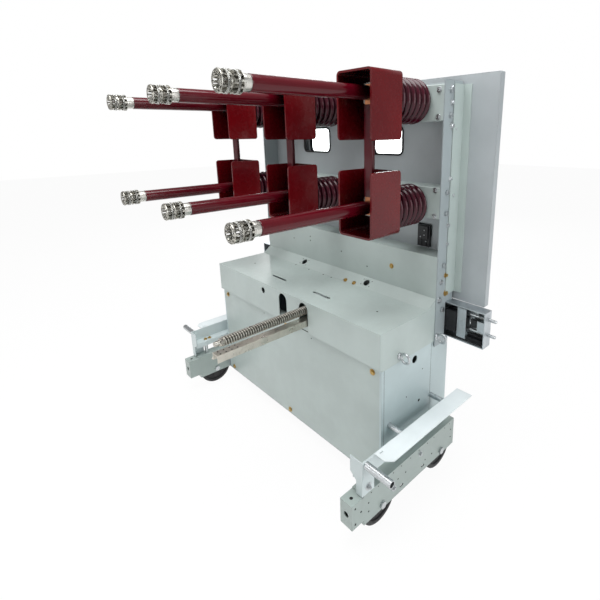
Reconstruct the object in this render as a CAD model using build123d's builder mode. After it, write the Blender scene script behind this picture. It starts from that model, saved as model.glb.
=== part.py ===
from build123d import *
import os

# Withdrawable truck of an indoor medium-voltage breaker panel.
# +X runs across the phases, -Y points to the fixed contacts, +Z is up.
# The origin is on the floor, below the middle of the whole truck.

os.makedirs("parts", exist_ok=True)

# ---- Driving dimensions, millimetres -------------------------------------

# Pole layout
phase_pitch = 400.0
pole_pitch = 340.0
lower_arm_height = 990.0
arm_reach = 699.0

# Tulip contact
contact_length = 55.0
contact_outer_radius = 27.0
contact_bore_radius = 15.0
finger_count = 12
finger_thickness = 5.0
spring_groove_radius = 23.5
spring_groove_width = 6.0
front_spring_reach = 18.0
rear_spring_reach = 44.0
spring_section_radius = 2.3
waist_radius = 20.0
waist_start = 24.0
waist_end = 31.0
cage_thickness = 3.0
cage_outer_radius = 25.0
insertion_depth = 38.0

# Contact base, rod and sleeve of each arm
base_radius = 20.0
base_length = 24.0
rod_radius = 17.0
arm_sleeve_wall = 4.0

# Link bar between the two arms of a phase
link_set_back = 217.0
link_width = 29.0
link_thickness = 8.0
link_overrun = 25.0
link_sleeve_wall = 3.0
link_sleeve_gap = 32.0
pad_width = 56.0
pad_height = 60.0

# Insulating hoods round the terminals
hood_width = 141.0
hood_depth = 132.0
hood_wall = 6.5
hood_corner_radius = 14.0
hood_lip_radius = 11.0
upper_hood_cap = 61.0
upper_hood_skirt = 135.0
lower_hood_cap = 87.0
lower_hood_skirt = 114.0

# Post insulators
insulator_length = 151.0
insulator_core_radius = 52.0
insulator_rib_radius = 72.0
insulator_rib_count = 6
insulator_rib_edge = 4.0
insulator_drop = 17.0

# Sheet steel
sheet = 3.0
upright_plate = 4.0

# Cabinet
body_half_width = 511.0
body_front_reach = 279.0
body_rear_depth = 94.0
body_bottom = 62.0
body_fold = 9.0
cover_top = 617.0
cover_overhang = 11.0
cover_lip = 125.0
cover_flat_depth = 249.0
cover_slope_rise = 31.0
cover_side_drop = 131.0
front_panel_top = 512.0
cover_slot_length = 100.0
cover_slot_width = 12.0
cover_slot_x = 138.0
cover_slot_reach = 206.0
arch_width = 52.0
arch_top = 607.0
peep_hole_radius = 12.5
peep_hole_x = 138.0
peep_hole_height = 584.0
slope_hole_radius = 14.0
slope_hole_x = 200.0
side_hole_radius = 14.0
side_hole_reach = 107.0
side_hole_height = 457.0

# Mounting frame
upright_bottom = 464.0
upright_top = 1375.0
upright_depth = 100.0
upright_fold = 30.0
beam_plate = 5.0
upper_beam_bottom = 1250.0
upper_beam_top = 1361.0
lower_beam_bottom = 932.0
lower_beam_top = 1038.0
backplate_set_back = 79.0
apron_top = 800.0

# Windows through the backplate and the operator's panel
window_x = 203.0
window_width = 186.0
window_height = 110.0
window_centre_height = 1186.0
window_radius = 24.0
gasket_width = 7.0
gasket_proud = 3.0
pane_thickness = 4.0
socket_x = 405.0
socket_width = 61.0
socket_height = 48.0
socket_centre_height = 867.0

# Operator's panel
panel_half_width = 643.0
panel_bottom = 621.0
panel_top = 1395.0
panel_stand_off = 108.0
panel_depth = 25.0

# Interlock beam below the operator's panel
beam_set_back = 60.0
beam_depth = 46.0
beam_bottom = 490.0

# Spring locks in the interlock beam
lock_rod_radius = 6.0
lock_rod_sink = 2.5
lock_rod_heights = (533.0, 590.0)
lock_stand_out = 28.0
lock_rod_length = 108.0
lock_tip_radius = 5.5
lock_tip_length = 27.0
lock_tip_chamfer = 2.0
lock_travel = 28.0
lock_box_gap = 4.0
lock_plate_length = 78.0
lock_plate_height = 96.0
lock_plate_gap = 6.0
lock_hole_clearance = 0.3
handle_stem_radius = 6.0
handle_knob_radius = 14.0
handle_knob_length = 30.0
handle_reach = 55.0
lock_box_width = 42.0
lock_box_height = 78.0

# Base rails and wheels
rail_gap = 16.0
rail_bottom = 58.0
rail_wall = 4.0
wheel_clearance = 4.0
wheel_head_room = 13.0
hub_gap = 3.0
nose_length = 51.0
nose_bottom = 77.0
nose_top = 163.0
nose_hole_radius = 10.0
front_slot_reach = 250.0
rear_slot_reach = 132.0
rail_slot_rise = 22.0
rail_slot_length = 18.0
rail_slot_width = 9.0
wheel_radius = 75.0
wheel_width = 28.0
wheel_hub_radius = 22.0
wheel_hub_width = 36.0
wheel_web_recess = 5.0
wheel_rim = 16.0
front_wheel_reach = 346.0
rear_wheel_reach = 22.0
axle_radius = 10.0
running_clearance = 0.05
axle_head_radius = 11.0
axle_head_width = 7.0
axle_head_gap = 5.0

# Side wings
wing_overhang = 3.0
wing_top = 287.0
wing_bottom = 233.0
wing_front_gap = 5.0
wing_rear_reach = -5.0
wing_flange = 45.0
wing_lip = 20.0
ramp_width = 58.0
ramp_front_reach = 385.0
ramp_rear_depth = 71.0
ramp_chamfer = 20.0
ramp_slot_length = 14.0
ramp_slot_width = 5.0
ramp_slot_inset = 8.0
post_radius = 9.0
post_height = 270.0
post_reaches = (240.0, 6.0)
spacer_radius = 8.0
spacer_reaches = (380.0, 30.0)
tube_radius = 12.0
tube_wall = 3.0
tube_length = 98.0

# Racking screw and its guide
screw_x = 131.0
screw_height = 576.0
screw_radius = 16.0
screw_stub_radius = 8.5
screw_stub_length = 19.0
screw_tip_reach = 643.0
screw_thread_length = 420.0
screw_shaft_radius = 12.0
crank_socket_radius = 9.0
crank_socket_depth = 30.0
bearing_width = 70.0
bearing_thickness = 25.0
guide_offset = 5.0
guide_width = 34.0
guide_height = 25.0
guide_top = 545.0
guide_wall = 2.5
guide_tip_reach = 645.0

# Lifting eyes and fasteners
eye_radius = 16.0
eye_wire_radius = 4.5
eye_collar_radius = 12.0
eye_collar_height = 6.0
eye_reaches = (195.0, -9.0)
eye_heights = (507.0, 502.0)
bolt_across_flats = 17.0
bolt_head_height = 8.0
panel_screw_across_flats = 13.0
panel_screw_height = 5.5
panel_screw_margin = 36.0

# ---- Derived places -------------------------------------------------------

overall_depth = arm_reach + beam_set_back + beam_depth + handle_reach
mount_y = arm_reach - overall_depth / 2
tip_y = mount_y - arm_reach
link_y = mount_y - link_set_back
hood_front_y = mount_y - insulator_length - hood_depth
phase_places = {"left": -phase_pitch, "centre": 0.0, "right": phase_pitch}
upper_arm_height = lower_arm_height + pole_pitch
arm_heights = (lower_arm_height, upper_arm_height)
base_end = contact_length + base_length
rod_end = link_y - link_thickness / 2 - tip_y
sleeve_radius = rod_radius + arm_sleeve_wall
groove_corner = (spring_groove_radius**2 + finger_thickness**2 / 4) ** 0.5
waist_corner = (waist_radius**2 + finger_thickness**2 / 4) ** 0.5
rail_width = wheel_hub_width + 2 * hub_gap + 2 * rail_wall
rail_front_reach = front_wheel_reach + wheel_radius + wheel_clearance + rail_wall
rail_rear_depth = wheel_radius - rear_wheel_reach + wheel_clearance + rail_wall
rail_top = 2 * wheel_radius + wheel_head_room + rail_wall
rail_inner_x = body_half_width + rail_gap
rail_centre_x = rail_inner_x + rail_width / 2
rail_outer_x = rail_inner_x + rail_width
wing_outer_x = rail_outer_x + wing_overhang
ramp_outer_x = wing_outer_x + ramp_width
wing_front_reach = rail_front_reach + wing_front_gap
cover_half_width = body_half_width + sheet
upright_outer_x = cover_half_width + upright_plate
body_front_y = mount_y - body_front_reach
body_rear_y = mount_y + body_rear_depth
body_top = cover_top - sheet
cover_front_y = body_front_y - cover_overhang
slope_y = cover_front_y + cover_flat_depth
upright_height = upright_top - upright_bottom
backplate_y = mount_y + backplate_set_back
panel_y = mount_y + panel_stand_off
backplate_bottom = panel_bottom
beam_front_y = mount_y + beam_set_back
beam_rear_y = beam_front_y + beam_depth
beam_height = panel_bottom - beam_bottom
lock_rod_start = upright_outer_x + lock_box_width + lock_box_gap + lock_travel
lock_reach = lock_rod_start + lock_rod_length
beam_half_width = lock_reach - lock_stand_out
beam_middle = (panel_bottom + beam_bottom) / 2
lock_plate_y = beam_rear_y - sheet - lock_plate_gap - sheet
lock_rod_y = lock_plate_y - lock_rod_radius + lock_rod_sink
wheel_places = {"front": mount_y - front_wheel_reach, "rear": mount_y - rear_wheel_reach}


def save(piece, name):
    """Label one finished piece and write its STEP file."""
    piece.part.label = name
    export_step(piece.part, f"parts/{name}.step")


def mirrored(piece):
    """The same piece on the other side of the truck."""
    with BuildPart() as other:
        mirror(piece.part, about=Plane.YZ)
    return other


def save_pair(piece, name):
    """Write a right-hand piece and its left-hand twin."""
    save(piece, f"right_{name}")
    save(mirrored(piece), f"left_{name}")


def on_both_sides(piece):
    """One part that holds a right-hand piece and its left-hand twin."""
    with BuildPart() as pair:
        add(piece.part)
        mirror(piece.part, about=Plane.YZ)
    return pair


def arm_planes(places):
    """Planes at the arm tips, with Z running back along each arm."""
    planes = []
    for x in places:
        for height in arm_heights:
            planes.append(Plane(origin=(x, tip_y, height), x_dir=(1, 0, 0), z_dir=(0, 1, 0)))
    return planes


def repeat(piece, places):
    """Copies of one piece at several places, as separate solids."""
    with BuildPart() as copies:
        with Locations(*places):
            add(piece.part)
    return copies


def turned(points):
    """A solid of revolution about Z from (radius, height) points."""
    with BuildPart() as body:
        with BuildSketch(Plane.XZ):
            with BuildLine():
                Polyline(*points, close=True)
            make_face()
        revolve(axis=Axis.Z)
    return body


# ---- Tulip contacts -------------------------------------------------------


def contact_finger():
    """One flat finger, with a contact bead at each end and two spring grooves."""
    bead_blank = contact_bore_radius - 1.0
    relief = contact_bore_radius + 2.0
    half_groove = spring_groove_width / 2
    shoulder = 2.0
    with BuildPart() as finger:
        with BuildSketch(Plane.XZ):
            with BuildLine():
                Polyline(
                    (relief, 0),
                    (bead_blank, 2 * shoulder),
                    (bead_blank, 5 * shoulder),
                    (relief, 6 * shoulder),
                    (relief, insertion_depth),
                    (bead_blank, insertion_depth + shoulder),
                    (bead_blank, contact_length),
                    (contact_outer_radius, contact_length),
                    (contact_outer_radius, rear_spring_reach + half_groove),
                    (spring_groove_radius, rear_spring_reach + half_groove),
                    (spring_groove_radius, rear_spring_reach - half_groove),
                    (contact_outer_radius, waist_end),
                    (waist_radius, waist_end),
                    (waist_radius, waist_start),
                    (contact_outer_radius, waist_start),
                    (contact_outer_radius, front_spring_reach + half_groove),
                    (spring_groove_radius, front_spring_reach + half_groove),
                    (spring_groove_radius, front_spring_reach - half_groove),
                    (contact_outer_radius, 2 * shoulder),
                    (waist_radius, 0),
                    close=True,
                )
            make_face()
        extrude(amount=finger_thickness / 2, both=True)
        Cylinder(
            contact_bore_radius,
            contact_length,
            align=(Align.CENTER, Align.CENTER, Align.MIN),
            mode=Mode.SUBTRACT,
        )
    return finger


def finger_ring():
    """The full ring of fingers of one contact."""
    finger = contact_finger()
    with BuildPart() as ring:
        with PolarLocations(0, finger_count):
            add(finger.part)
    return ring


def garter_ring(reach):
    """One garter spring seated in its groove round the fingers."""
    centre_radius = groove_corner + spring_section_radius
    with BuildPart() as ring:
        with BuildSketch(Plane.XZ):
            with Locations((centre_radius, reach)):
                Rectangle(2 * spring_section_radius, 2 * spring_section_radius)
        revolve(axis=Axis.Z)
    return ring


def contact_cage():
    """Retaining ring that sits in the waist of the fingers."""
    middle = (waist_start + waist_end) / 2
    with BuildPart() as cage:
        with BuildSketch(Plane.XY.offset(middle - cage_thickness / 2)):
            Circle(cage_outer_radius)
            Circle(waist_corner, mode=Mode.SUBTRACT)
        extrude(amount=cage_thickness)
    return cage


def contact_base():
    """Silvered base: the spigot that the fingers grip, and the collar on the rod."""
    with BuildPart() as base:
        with BuildSketch(Plane.XY.offset(insertion_depth)):
            Circle(contact_bore_radius)
        extrude(amount=contact_length - insertion_depth)
        with BuildSketch(Plane.XY.offset(contact_length)):
            Circle(base_radius)
        extrude(amount=base_length)
    return base


def contact_rod():
    """Copper rod from the contact base to the link bar."""
    with BuildPart() as rod:
        with BuildSketch(Plane.XY.offset(base_end)):
            Circle(rod_radius)
        extrude(amount=rod_end - base_end)
    return rod


def arm_sleeve():
    """Insulating sleeve shrunk on the rod."""
    with BuildPart() as sleeve:
        with BuildSketch(Plane.XY.offset(base_end)):
            Circle(sleeve_radius)
            Circle(rod_radius, mode=Mode.SUBTRACT)
        extrude(amount=rod_end - base_end)
    return sleeve


def terminal_pad():
    """Block that carries the link bar and the rod on the insulator."""
    start = rod_end + link_thickness
    length = hood_front_y + hood_depth - hood_wall - tip_y - start
    with BuildPart() as pad:
        with BuildSketch(Plane.XY.offset(start)):
            RectangleRounded(pad_width, pad_height, hood_wall)
        extrude(amount=length)
    return pad


all_arms = arm_planes(phase_places.values())
for phase, phase_x in phase_places.items():
    save(repeat(finger_ring(), arm_planes([phase_x])), f"{phase}_tulip_fingers")

with BuildPart() as garter_springs:
    for spring_reach in (front_spring_reach, rear_spring_reach):
        add(repeat(garter_ring(spring_reach), all_arms).part)
save(garter_springs, "garter_springs")
save(repeat(contact_cage(), all_arms), "contact_cages")
save(repeat(contact_base(), all_arms), "contact_bases")
save(repeat(contact_rod(), all_arms), "contact_rods")
save(repeat(arm_sleeve(), all_arms), "arm_sleeves")
save(repeat(terminal_pad(), all_arms), "terminal_pads")

# ---- Link bars ------------------------------------------------------------

link_length = pole_pitch + 2 * link_overrun
link_middle = lower_arm_height + pole_pitch / 2
link_seats = [(x, link_y, link_middle) for x in phase_places.values()]

with BuildPart() as link_bars:
    with Locations(*link_seats):
        Box(link_width, link_thickness, link_length)
    fillet(link_bars.edges().filter_by(Axis.Y), link_width / 4)
save(link_bars, "link_bars")

with BuildPart() as link_sleeves:
    with Locations(*link_seats):
        Box(
            link_width + 2 * link_sleeve_wall,
            link_thickness + 2 * link_sleeve_wall,
            pole_pitch - 2 * link_sleeve_gap,
        )
    fillet(link_sleeves.edges().filter_by(Axis.Z), link_sleeve_wall)
    with Locations(*link_seats):
        Box(link_width, link_thickness, link_length, mode=Mode.SUBTRACT)
save(link_sleeves, "link_sleeves")

# ---- Hoods ----------------------------------------------------------------


def hood(x, arm_height, cap, skirt, cap_side):
    """Box round a terminal, open to the front and on the side of the link bar."""
    seat = Plane(
        origin=(x, hood_front_y, arm_height),
        x_dir=(-cap_side, 0, 0),
        z_dir=(0, 1, 0),
    )
    half_width = hood_width / 2
    inner_half = half_width - hood_wall
    with BuildPart() as box:
        with BuildSketch(seat):
            with BuildLine():
                bend = FilletPolyline(
                    (-half_width, -skirt),
                    (-half_width, cap),
                    (half_width, cap),
                    (half_width, -skirt),
                    radius=hood_corner_radius,
                )
                Line(bend @ 0, bend @ 1)
            make_face()
        extrude(amount=hood_depth)
        lip_height = arm_height - cap_side * skirt
        lip_edges = box.edges().filter_by(Axis.X).filter_by_position(
            Axis.Z, lip_height - 1, lip_height + 1
        )
        fillet(lip_edges, hood_lip_radius)
        with BuildSketch(seat):
            with BuildLine():
                inner = FilletPolyline(
                    (-inner_half, -skirt - hood_wall),
                    (-inner_half, cap - hood_wall),
                    (inner_half, cap - hood_wall),
                    (inner_half, -skirt - hood_wall),
                    radius=hood_corner_radius - hood_wall,
                )
                Line(inner @ 0, inner @ 1)
            make_face()
        extrude(amount=hood_depth - hood_wall, mode=Mode.SUBTRACT)
    return box


for phase, phase_x in phase_places.items():
    upper_hood = hood(phase_x, upper_arm_height, upper_hood_cap, upper_hood_skirt, 1)
    lower_hood = hood(phase_x, lower_arm_height, lower_hood_cap, lower_hood_skirt, -1)
    with BuildPart() as phase_hoods:
        add(upper_hood.part)
        add(lower_hood.part)
    save(phase_hoods, f"{phase}_hoods")

# ---- Post insulators ------------------------------------------------------


def post_insulator():
    """Ribbed cast-resin post; its ribs taper to a thin edge."""
    pitch = insulator_length / insulator_rib_count
    points = [(0, 0), (insulator_core_radius, 0)]
    for rib in range(insulator_rib_count):
        middle = (rib + 0.5) * pitch
        points.append((insulator_rib_radius, middle - insulator_rib_edge / 2))
        points.append((insulator_rib_radius, middle + insulator_rib_edge / 2))
        points.append((insulator_core_radius, middle + pitch / 2))
    points.append((0, insulator_length))
    return turned(points)


insulator = post_insulator()
for phase, phase_x in phase_places.items():
    insulator_seats = []
    for height in arm_heights:
        insulator_seats.append(
            Plane(
                origin=(phase_x, mount_y - insulator_length, height - insulator_drop),
                x_dir=(1, 0, 0),
                z_dir=(0, 1, 0),
            )
        )
    save(repeat(insulator, insulator_seats), f"{phase}_insulators")

# ---- Mounting frame -------------------------------------------------------

with BuildPart() as upright:
    with BuildSketch(Plane.XY.offset(upright_bottom)):
        with BuildLine():
            Polyline(
                (upright_outer_x, mount_y),
                (upright_outer_x, mount_y + upright_depth),
                (upright_outer_x - upright_fold, mount_y + upright_depth),
                (upright_outer_x - upright_fold, mount_y + upright_depth - upright_plate),
                (upright_outer_x - upright_plate, mount_y + upright_depth - upright_plate),
                (upright_outer_x - upright_plate, mount_y),
                close=True,
            )
        make_face()
    extrude(amount=upright_height)
    notch_y = beam_front_y - sheet
    notch_depth = mount_y + upright_depth - notch_y
    with Locations((upright_outer_x, notch_y + notch_depth / 2, (upright_bottom + panel_bottom) / 2)):
        Box(
            3 * upright_fold,
            notch_depth,
            panel_bottom - upright_bottom,
            mode=Mode.SUBTRACT,
        )
save_pair(upright, "upright")

bracket_y = mount_y + upright_depth / 2
bracket_height = panel_top - panel_bottom - 2 * upright_fold
with BuildPart() as panel_bracket:
    with BuildSketch(Plane.XY.offset(panel_bottom + upright_fold)):
        with BuildLine():
            Polyline(
                (upright_outer_x, bracket_y),
                (upright_outer_x + sheet, bracket_y),
                (upright_outer_x + sheet, panel_y - sheet),
                (upright_outer_x + upright_fold, panel_y - sheet),
                (upright_outer_x + upright_fold, panel_y),
                (upright_outer_x, panel_y),
                close=True,
            )
        make_face()
    extrude(amount=bracket_height)
save(on_both_sides(panel_bracket), "panel_brackets")


def cross_beam(bottom, top):
    """Channel between the uprights; its web carries the insulators."""
    beam_back = backplate_y
    with BuildPart() as beam:
        with BuildSketch(Plane.YZ):
            with BuildLine():
                Polyline(
                    (mount_y, bottom),
                    (mount_y, top),
                    (beam_back, top),
                    (beam_back, top - sheet),
                    (mount_y + beam_plate, top - sheet),
                    (mount_y + beam_plate, bottom + sheet),
                    (beam_back, bottom + sheet),
                    (beam_back, bottom),
                    close=True,
                )
            make_face()
        extrude(amount=cover_half_width, both=True)
        fillet(beam.faces().sort_by(Axis.Y)[0].edges().filter_by(Axis.X), 3.0)
    return beam


save(cross_beam(upper_beam_bottom, upper_beam_top), "upper_cross_beam")
save(cross_beam(lower_beam_bottom, lower_beam_top), "lower_cross_beam")

window_places = [(-window_x, window_centre_height), (window_x, window_centre_height)]

with BuildPart() as backplate:
    with BuildSketch(Plane.XZ.offset(-backplate_y)):
        with Locations((0, (backplate_bottom + upright_top) / 2)):
            Rectangle(2 * cover_half_width, upright_top - backplate_bottom)
        with Locations(*window_places):
            RectangleRounded(window_width, window_height, window_radius, mode=Mode.SUBTRACT)
        with Locations((socket_x, socket_centre_height)):
            Rectangle(socket_width, socket_height, mode=Mode.SUBTRACT)
    extrude(amount=-sheet)
save(backplate, "backplate")

with BuildPart() as apron:
    with BuildSketch(Plane.YZ):
        with BuildLine():
            Polyline(
                (mount_y, cover_top + cover_slope_rise - sheet),
                (mount_y, apron_top),
                (backplate_y, apron_top),
                (backplate_y, apron_top - sheet),
                (mount_y + sheet, apron_top - sheet),
                (mount_y + sheet, cover_top + cover_slope_rise - sheet),
                close=True,
            )
        make_face()
    extrude(amount=cover_half_width, both=True)
save(apron, "apron_plate")

# ---- Operator's panel -----------------------------------------------------

panel_height = panel_top - panel_bottom
panel_middle = (panel_top + panel_bottom) / 2
panel_face_y = panel_y + panel_depth

with BuildPart() as operator_panel:
    with BuildSketch(Plane.XZ.offset(-panel_y)):
        with Locations((0, panel_middle)):
            Rectangle(2 * panel_half_width, panel_height)
    extrude(amount=-panel_depth)
    fillet(operator_panel.edges().filter_by(Axis.Y), 4.0)
    with BuildSketch(Plane.XZ.offset(-panel_y)):
        with Locations((0, panel_middle)):
            Rectangle(2 * panel_half_width - 2 * sheet, panel_height - 2 * sheet)
    extrude(amount=sheet - panel_depth, mode=Mode.SUBTRACT)
    with BuildSketch(Plane.XZ.offset(-panel_y)):
        with Locations(*window_places):
            RectangleRounded(window_width, window_height, window_radius)
    extrude(amount=-panel_depth, mode=Mode.SUBTRACT)
save(operator_panel, "operator_panel")

with BuildPart() as panel_backing:
    with BuildSketch(Plane.XZ.offset(-panel_y)):
        with Locations((0, panel_middle)):
            Rectangle(2 * panel_half_width - 2 * sheet, panel_height - 2 * sheet)
        with Locations(*window_places):
            RectangleRounded(window_width, window_height, window_radius, mode=Mode.SUBTRACT)
    extrude(amount=-sheet)
save(panel_backing, "panel_backing")

with BuildPart() as window_gaskets:
    with BuildSketch(Plane.XZ.offset(-(backplate_y - gasket_proud))):
        with Locations(*window_places):
            RectangleRounded(window_width, window_height, window_radius)
            RectangleRounded(
                window_width - 2 * gasket_width,
                window_height - 2 * gasket_width,
                window_radius - gasket_width,
                mode=Mode.SUBTRACT,
            )
    extrude(amount=-(sheet + gasket_proud))
save(window_gaskets, "window_gaskets")

with BuildPart() as window_panes:
    with BuildSketch(Plane.XZ.offset(-(panel_face_y - sheet - pane_thickness))):
        with Locations(*window_places):
            RectangleRounded(
                window_width + 2 * gasket_width,
                window_height + 2 * gasket_width,
                window_radius,
            )
    extrude(amount=-pane_thickness)
save(window_panes, "window_panes")

# ---- Cabinet --------------------------------------------------------------

with BuildPart() as side_panel:
    with BuildSketch(Plane.XY.offset(body_bottom + sheet)):
        with BuildLine():
            Polyline(
                (body_half_width - body_fold, body_front_y),
                (body_half_width, body_front_y),
                (body_half_width, body_rear_y),
                (body_half_width - body_fold, body_rear_y),
                (body_half_width - body_fold, body_rear_y - sheet),
                (body_half_width - sheet, body_rear_y - sheet),
                (body_half_width - sheet, body_front_y + sheet),
                (body_half_width - body_fold, body_front_y + sheet),
                close=True,
            )
        make_face()
    extrude(amount=body_top - body_bottom - sheet)
    with BuildSketch(Plane.YZ.offset(body_half_width - sheet)):
        with Locations((mount_y - side_hole_reach, side_hole_height)):
            Circle(side_hole_radius)
    extrude(amount=sheet, mode=Mode.SUBTRACT)
    with Locations((body_half_width, beam_front_y + beam_depth / 2, beam_middle)):
        Box(3 * body_fold, beam_depth + 2 * sheet, beam_height + sheet, mode=Mode.SUBTRACT)
save_pair(side_panel, "side_panel")

contact_panel_half = body_half_width - body_fold
contact_panel_height = front_panel_top - body_bottom - sheet
with BuildPart() as contact_panel:
    with Locations((0, body_front_y + sheet / 2, body_bottom + sheet + contact_panel_height / 2)):
        Box(2 * contact_panel_half, sheet, contact_panel_height)
    with Locations((0, body_front_y + 4 * sheet, front_panel_top - sheet / 2)):
        Box(2 * contact_panel_half, 6 * sheet, sheet)
save(contact_panel, "contact_side_panel")

rear_panel_height = beam_bottom - body_bottom - 2 * sheet
with BuildPart() as rear_panel:
    with Locations((0, body_rear_y - sheet / 2, body_bottom + sheet + rear_panel_height / 2)):
        Box(2 * contact_panel_half, sheet, rear_panel_height)
save(rear_panel, "operator_side_panel")

with BuildPart() as floor_plate:
    with BuildSketch(Plane.XZ.offset(-body_front_y)):
        with BuildLine():
            Polyline(
                (-rail_inner_x, body_bottom),
                (rail_inner_x, body_bottom),
                (rail_inner_x, rail_top - 2 * rail_wall),
                (rail_inner_x - sheet, rail_top - 2 * rail_wall),
                (rail_inner_x - sheet, body_bottom + sheet),
                (-rail_inner_x + sheet, body_bottom + sheet),
                (-rail_inner_x + sheet, rail_top - 2 * rail_wall),
                (-rail_inner_x, rail_top - 2 * rail_wall),
                close=True,
            )
        make_face()
    extrude(amount=-(rail_rear_depth + body_front_reach))
    with Locations((0, (mount_y + rail_rear_depth + body_rear_y) / 2, body_bottom + sheet / 2)):
        Box(2 * body_half_width, body_rear_depth - rail_rear_depth, sheet)
    with BuildSketch(Plane.YZ.offset(-rail_inner_x)):
        with Locations(*[(axle_y, wheel_radius) for axle_y in wheel_places.values()]):
            Circle(axle_head_radius + axle_head_gap)
    extrude(amount=2 * rail_inner_x, mode=Mode.SUBTRACT)
save(floor_plate, "floor_plate")

cover_back = mount_y
slope_top = cover_top + cover_slope_rise
cover_side_bottom = cover_top - cover_side_drop
with BuildPart() as top_cover:
    with BuildSketch(Plane.YZ):
        with BuildLine():
            Polyline(
                (cover_front_y, cover_top - cover_lip),
                (cover_front_y, cover_top),
                (slope_y, cover_top),
                (cover_back, slope_top),
                (cover_back, cover_side_bottom),
                (body_front_y, cover_side_bottom),
                (body_front_y, cover_top - cover_lip),
                close=True,
            )
        make_face()
    extrude(amount=cover_half_width, both=True)
    with BuildSketch(Plane.YZ):
        with BuildLine():
            Polyline(
                (cover_front_y + sheet, cover_side_bottom),
                (cover_front_y + sheet, cover_top - sheet),
                (slope_y, cover_top - sheet),
                (cover_back, slope_top - sheet),
                (cover_back, cover_side_bottom),
                close=True,
            )
        make_face()
    extrude(amount=body_half_width, both=True, mode=Mode.SUBTRACT)
    with BuildSketch(Plane.XY.offset(cover_top)):
        with Locations(
            (-cover_slot_x, mount_y - cover_slot_reach),
            (cover_slot_x, mount_y - cover_slot_reach),
        ):
            SlotOverall(cover_slot_length, cover_slot_width)
    extrude(amount=-sheet, mode=Mode.SUBTRACT)
    with BuildSketch(Plane.XZ.offset(-cover_front_y)):
        with Locations((-peep_hole_x, peep_hole_height)):
            Circle(peep_hole_radius)
        for arch_x in (0.0, screw_x):
            with Locations((arch_x, arch_top - arch_width / 2)):
                Circle(arch_width / 2)
            with Locations((arch_x, (arch_top - arch_width / 2 + cover_top - cover_lip) / 2)):
                Rectangle(arch_width, arch_top - arch_width / 2 - cover_top + cover_lip)
    extrude(amount=-sheet, mode=Mode.SUBTRACT)
    slope_middle = ((slope_y + cover_back) / 2, (cover_top + slope_top) / 2)
    slope_plane = Plane(
        origin=(0, slope_middle[0], slope_middle[1]),
        x_dir=(1, 0, 0),
        z_dir=(0, -cover_slope_rise, cover_back - slope_y),
    )
    with BuildSketch(slope_plane):
        with Locations((-slope_hole_x, 0), (slope_hole_x, 0)):
            Circle(slope_hole_radius)
    extrude(amount=3 * sheet, both=True, mode=Mode.SUBTRACT)
save(top_cover, "top_cover")

# ---- Interlock beam and spring locks --------------------------------------

with BuildPart() as interlock_beam:
    with BuildSketch(Plane.YZ):
        with BuildLine():
            Polyline(
                (beam_front_y, beam_bottom),
                (beam_rear_y, beam_bottom),
                (beam_rear_y, panel_bottom),
                (beam_front_y, panel_bottom),
                (beam_front_y, panel_bottom - sheet),
                (beam_rear_y - sheet, panel_bottom - sheet),
                (beam_rear_y - sheet, beam_bottom + sheet),
                (beam_front_y, beam_bottom + sheet),
                close=True,
            )
        make_face()
    extrude(amount=beam_half_width, both=True)
    for end_side in (-1, 1):
        with Locations(
            (end_side * (beam_half_width - sheet / 2), beam_front_y + beam_depth / 2, beam_middle)
        ):
            Box(sheet, beam_depth, beam_height)
    with BuildSketch(Plane.YZ):
        for rod_height in lock_rod_heights:
            with Locations((lock_rod_y, rod_height)):
                Circle(lock_rod_radius + lock_hole_clearance)
    extrude(amount=beam_half_width, both=True, mode=Mode.SUBTRACT)
    with BuildSketch(Plane.XZ.offset(-beam_rear_y)):
        for slot_side in (-1, 1):
            with Locations((slot_side * (lock_rod_start - lock_travel / 2), beam_middle)):
                SlotOverall(lock_travel + 3 * handle_stem_radius, 3 * handle_stem_radius)
        with Locations((screw_x, screw_height)):
            Circle(screw_shaft_radius + sheet)
    extrude(amount=sheet, both=True, mode=Mode.SUBTRACT)
save(interlock_beam, "interlock_beam")

with BuildPart() as lock_slide:
    with Locations((lock_rod_start, lock_plate_y + sheet / 2, beam_middle)):
        Box(lock_plate_length, sheet, lock_plate_height)
    with Locations((lock_rod_start + lock_plate_length / 4, lock_plate_y + sheet / 2, beam_middle)):
        Box(lock_plate_length / 3, sheet, lock_plate_height / 3, mode=Mode.SUBTRACT)
    for rod_height in lock_rod_heights:
        rod_seat = Plane(
            origin=(lock_rod_start, lock_rod_y, rod_height),
            x_dir=(0, 1, 0),
            z_dir=(1, 0, 0),
        )
        with BuildSketch(rod_seat):
            Circle(lock_rod_radius)
        extrude(amount=lock_rod_length - lock_tip_length)
        with BuildSketch(rod_seat.offset(lock_rod_length - lock_tip_length)):
            Circle(lock_tip_radius)
        extrude(amount=lock_tip_length)
    chamfer(lock_slide.faces().sort_by(Axis.X)[-2:].edges(), lock_tip_chamfer)
    with BuildSketch(Plane.XZ.offset(-(lock_plate_y + sheet))):
        with Locations((lock_rod_start, beam_middle)):
            Circle(handle_stem_radius)
    extrude(amount=-(beam_rear_y + handle_reach - lock_plate_y - sheet))
    with BuildSketch(Plane.XZ.offset(-(beam_rear_y + handle_reach - handle_knob_length))):
        with Locations((lock_rod_start, beam_middle)):
            Circle(handle_knob_radius)
    extrude(amount=-handle_knob_length)
    chamfer(lock_slide.faces().sort_by(Axis.Y)[-1].edges(), handle_knob_radius / 4)
save_pair(lock_slide, "lock_slide")

lock_box_x = cover_half_width + upright_plate + lock_box_width / 2
lock_box_y = (beam_front_y + lock_plate_y) / 2 - sheet
with BuildPart() as lock_boxes:
    with Locations((-lock_box_x, lock_box_y, beam_middle), (lock_box_x, lock_box_y, beam_middle)):
        Box(lock_box_width, lock_plate_y - beam_front_y - 2 * sheet, lock_box_height)
    fillet(lock_boxes.edges().filter_by(Axis.Y), sheet)
save(lock_boxes, "lock_boxes")

# ---- Base rails and wheels ------------------------------------------------

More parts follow.
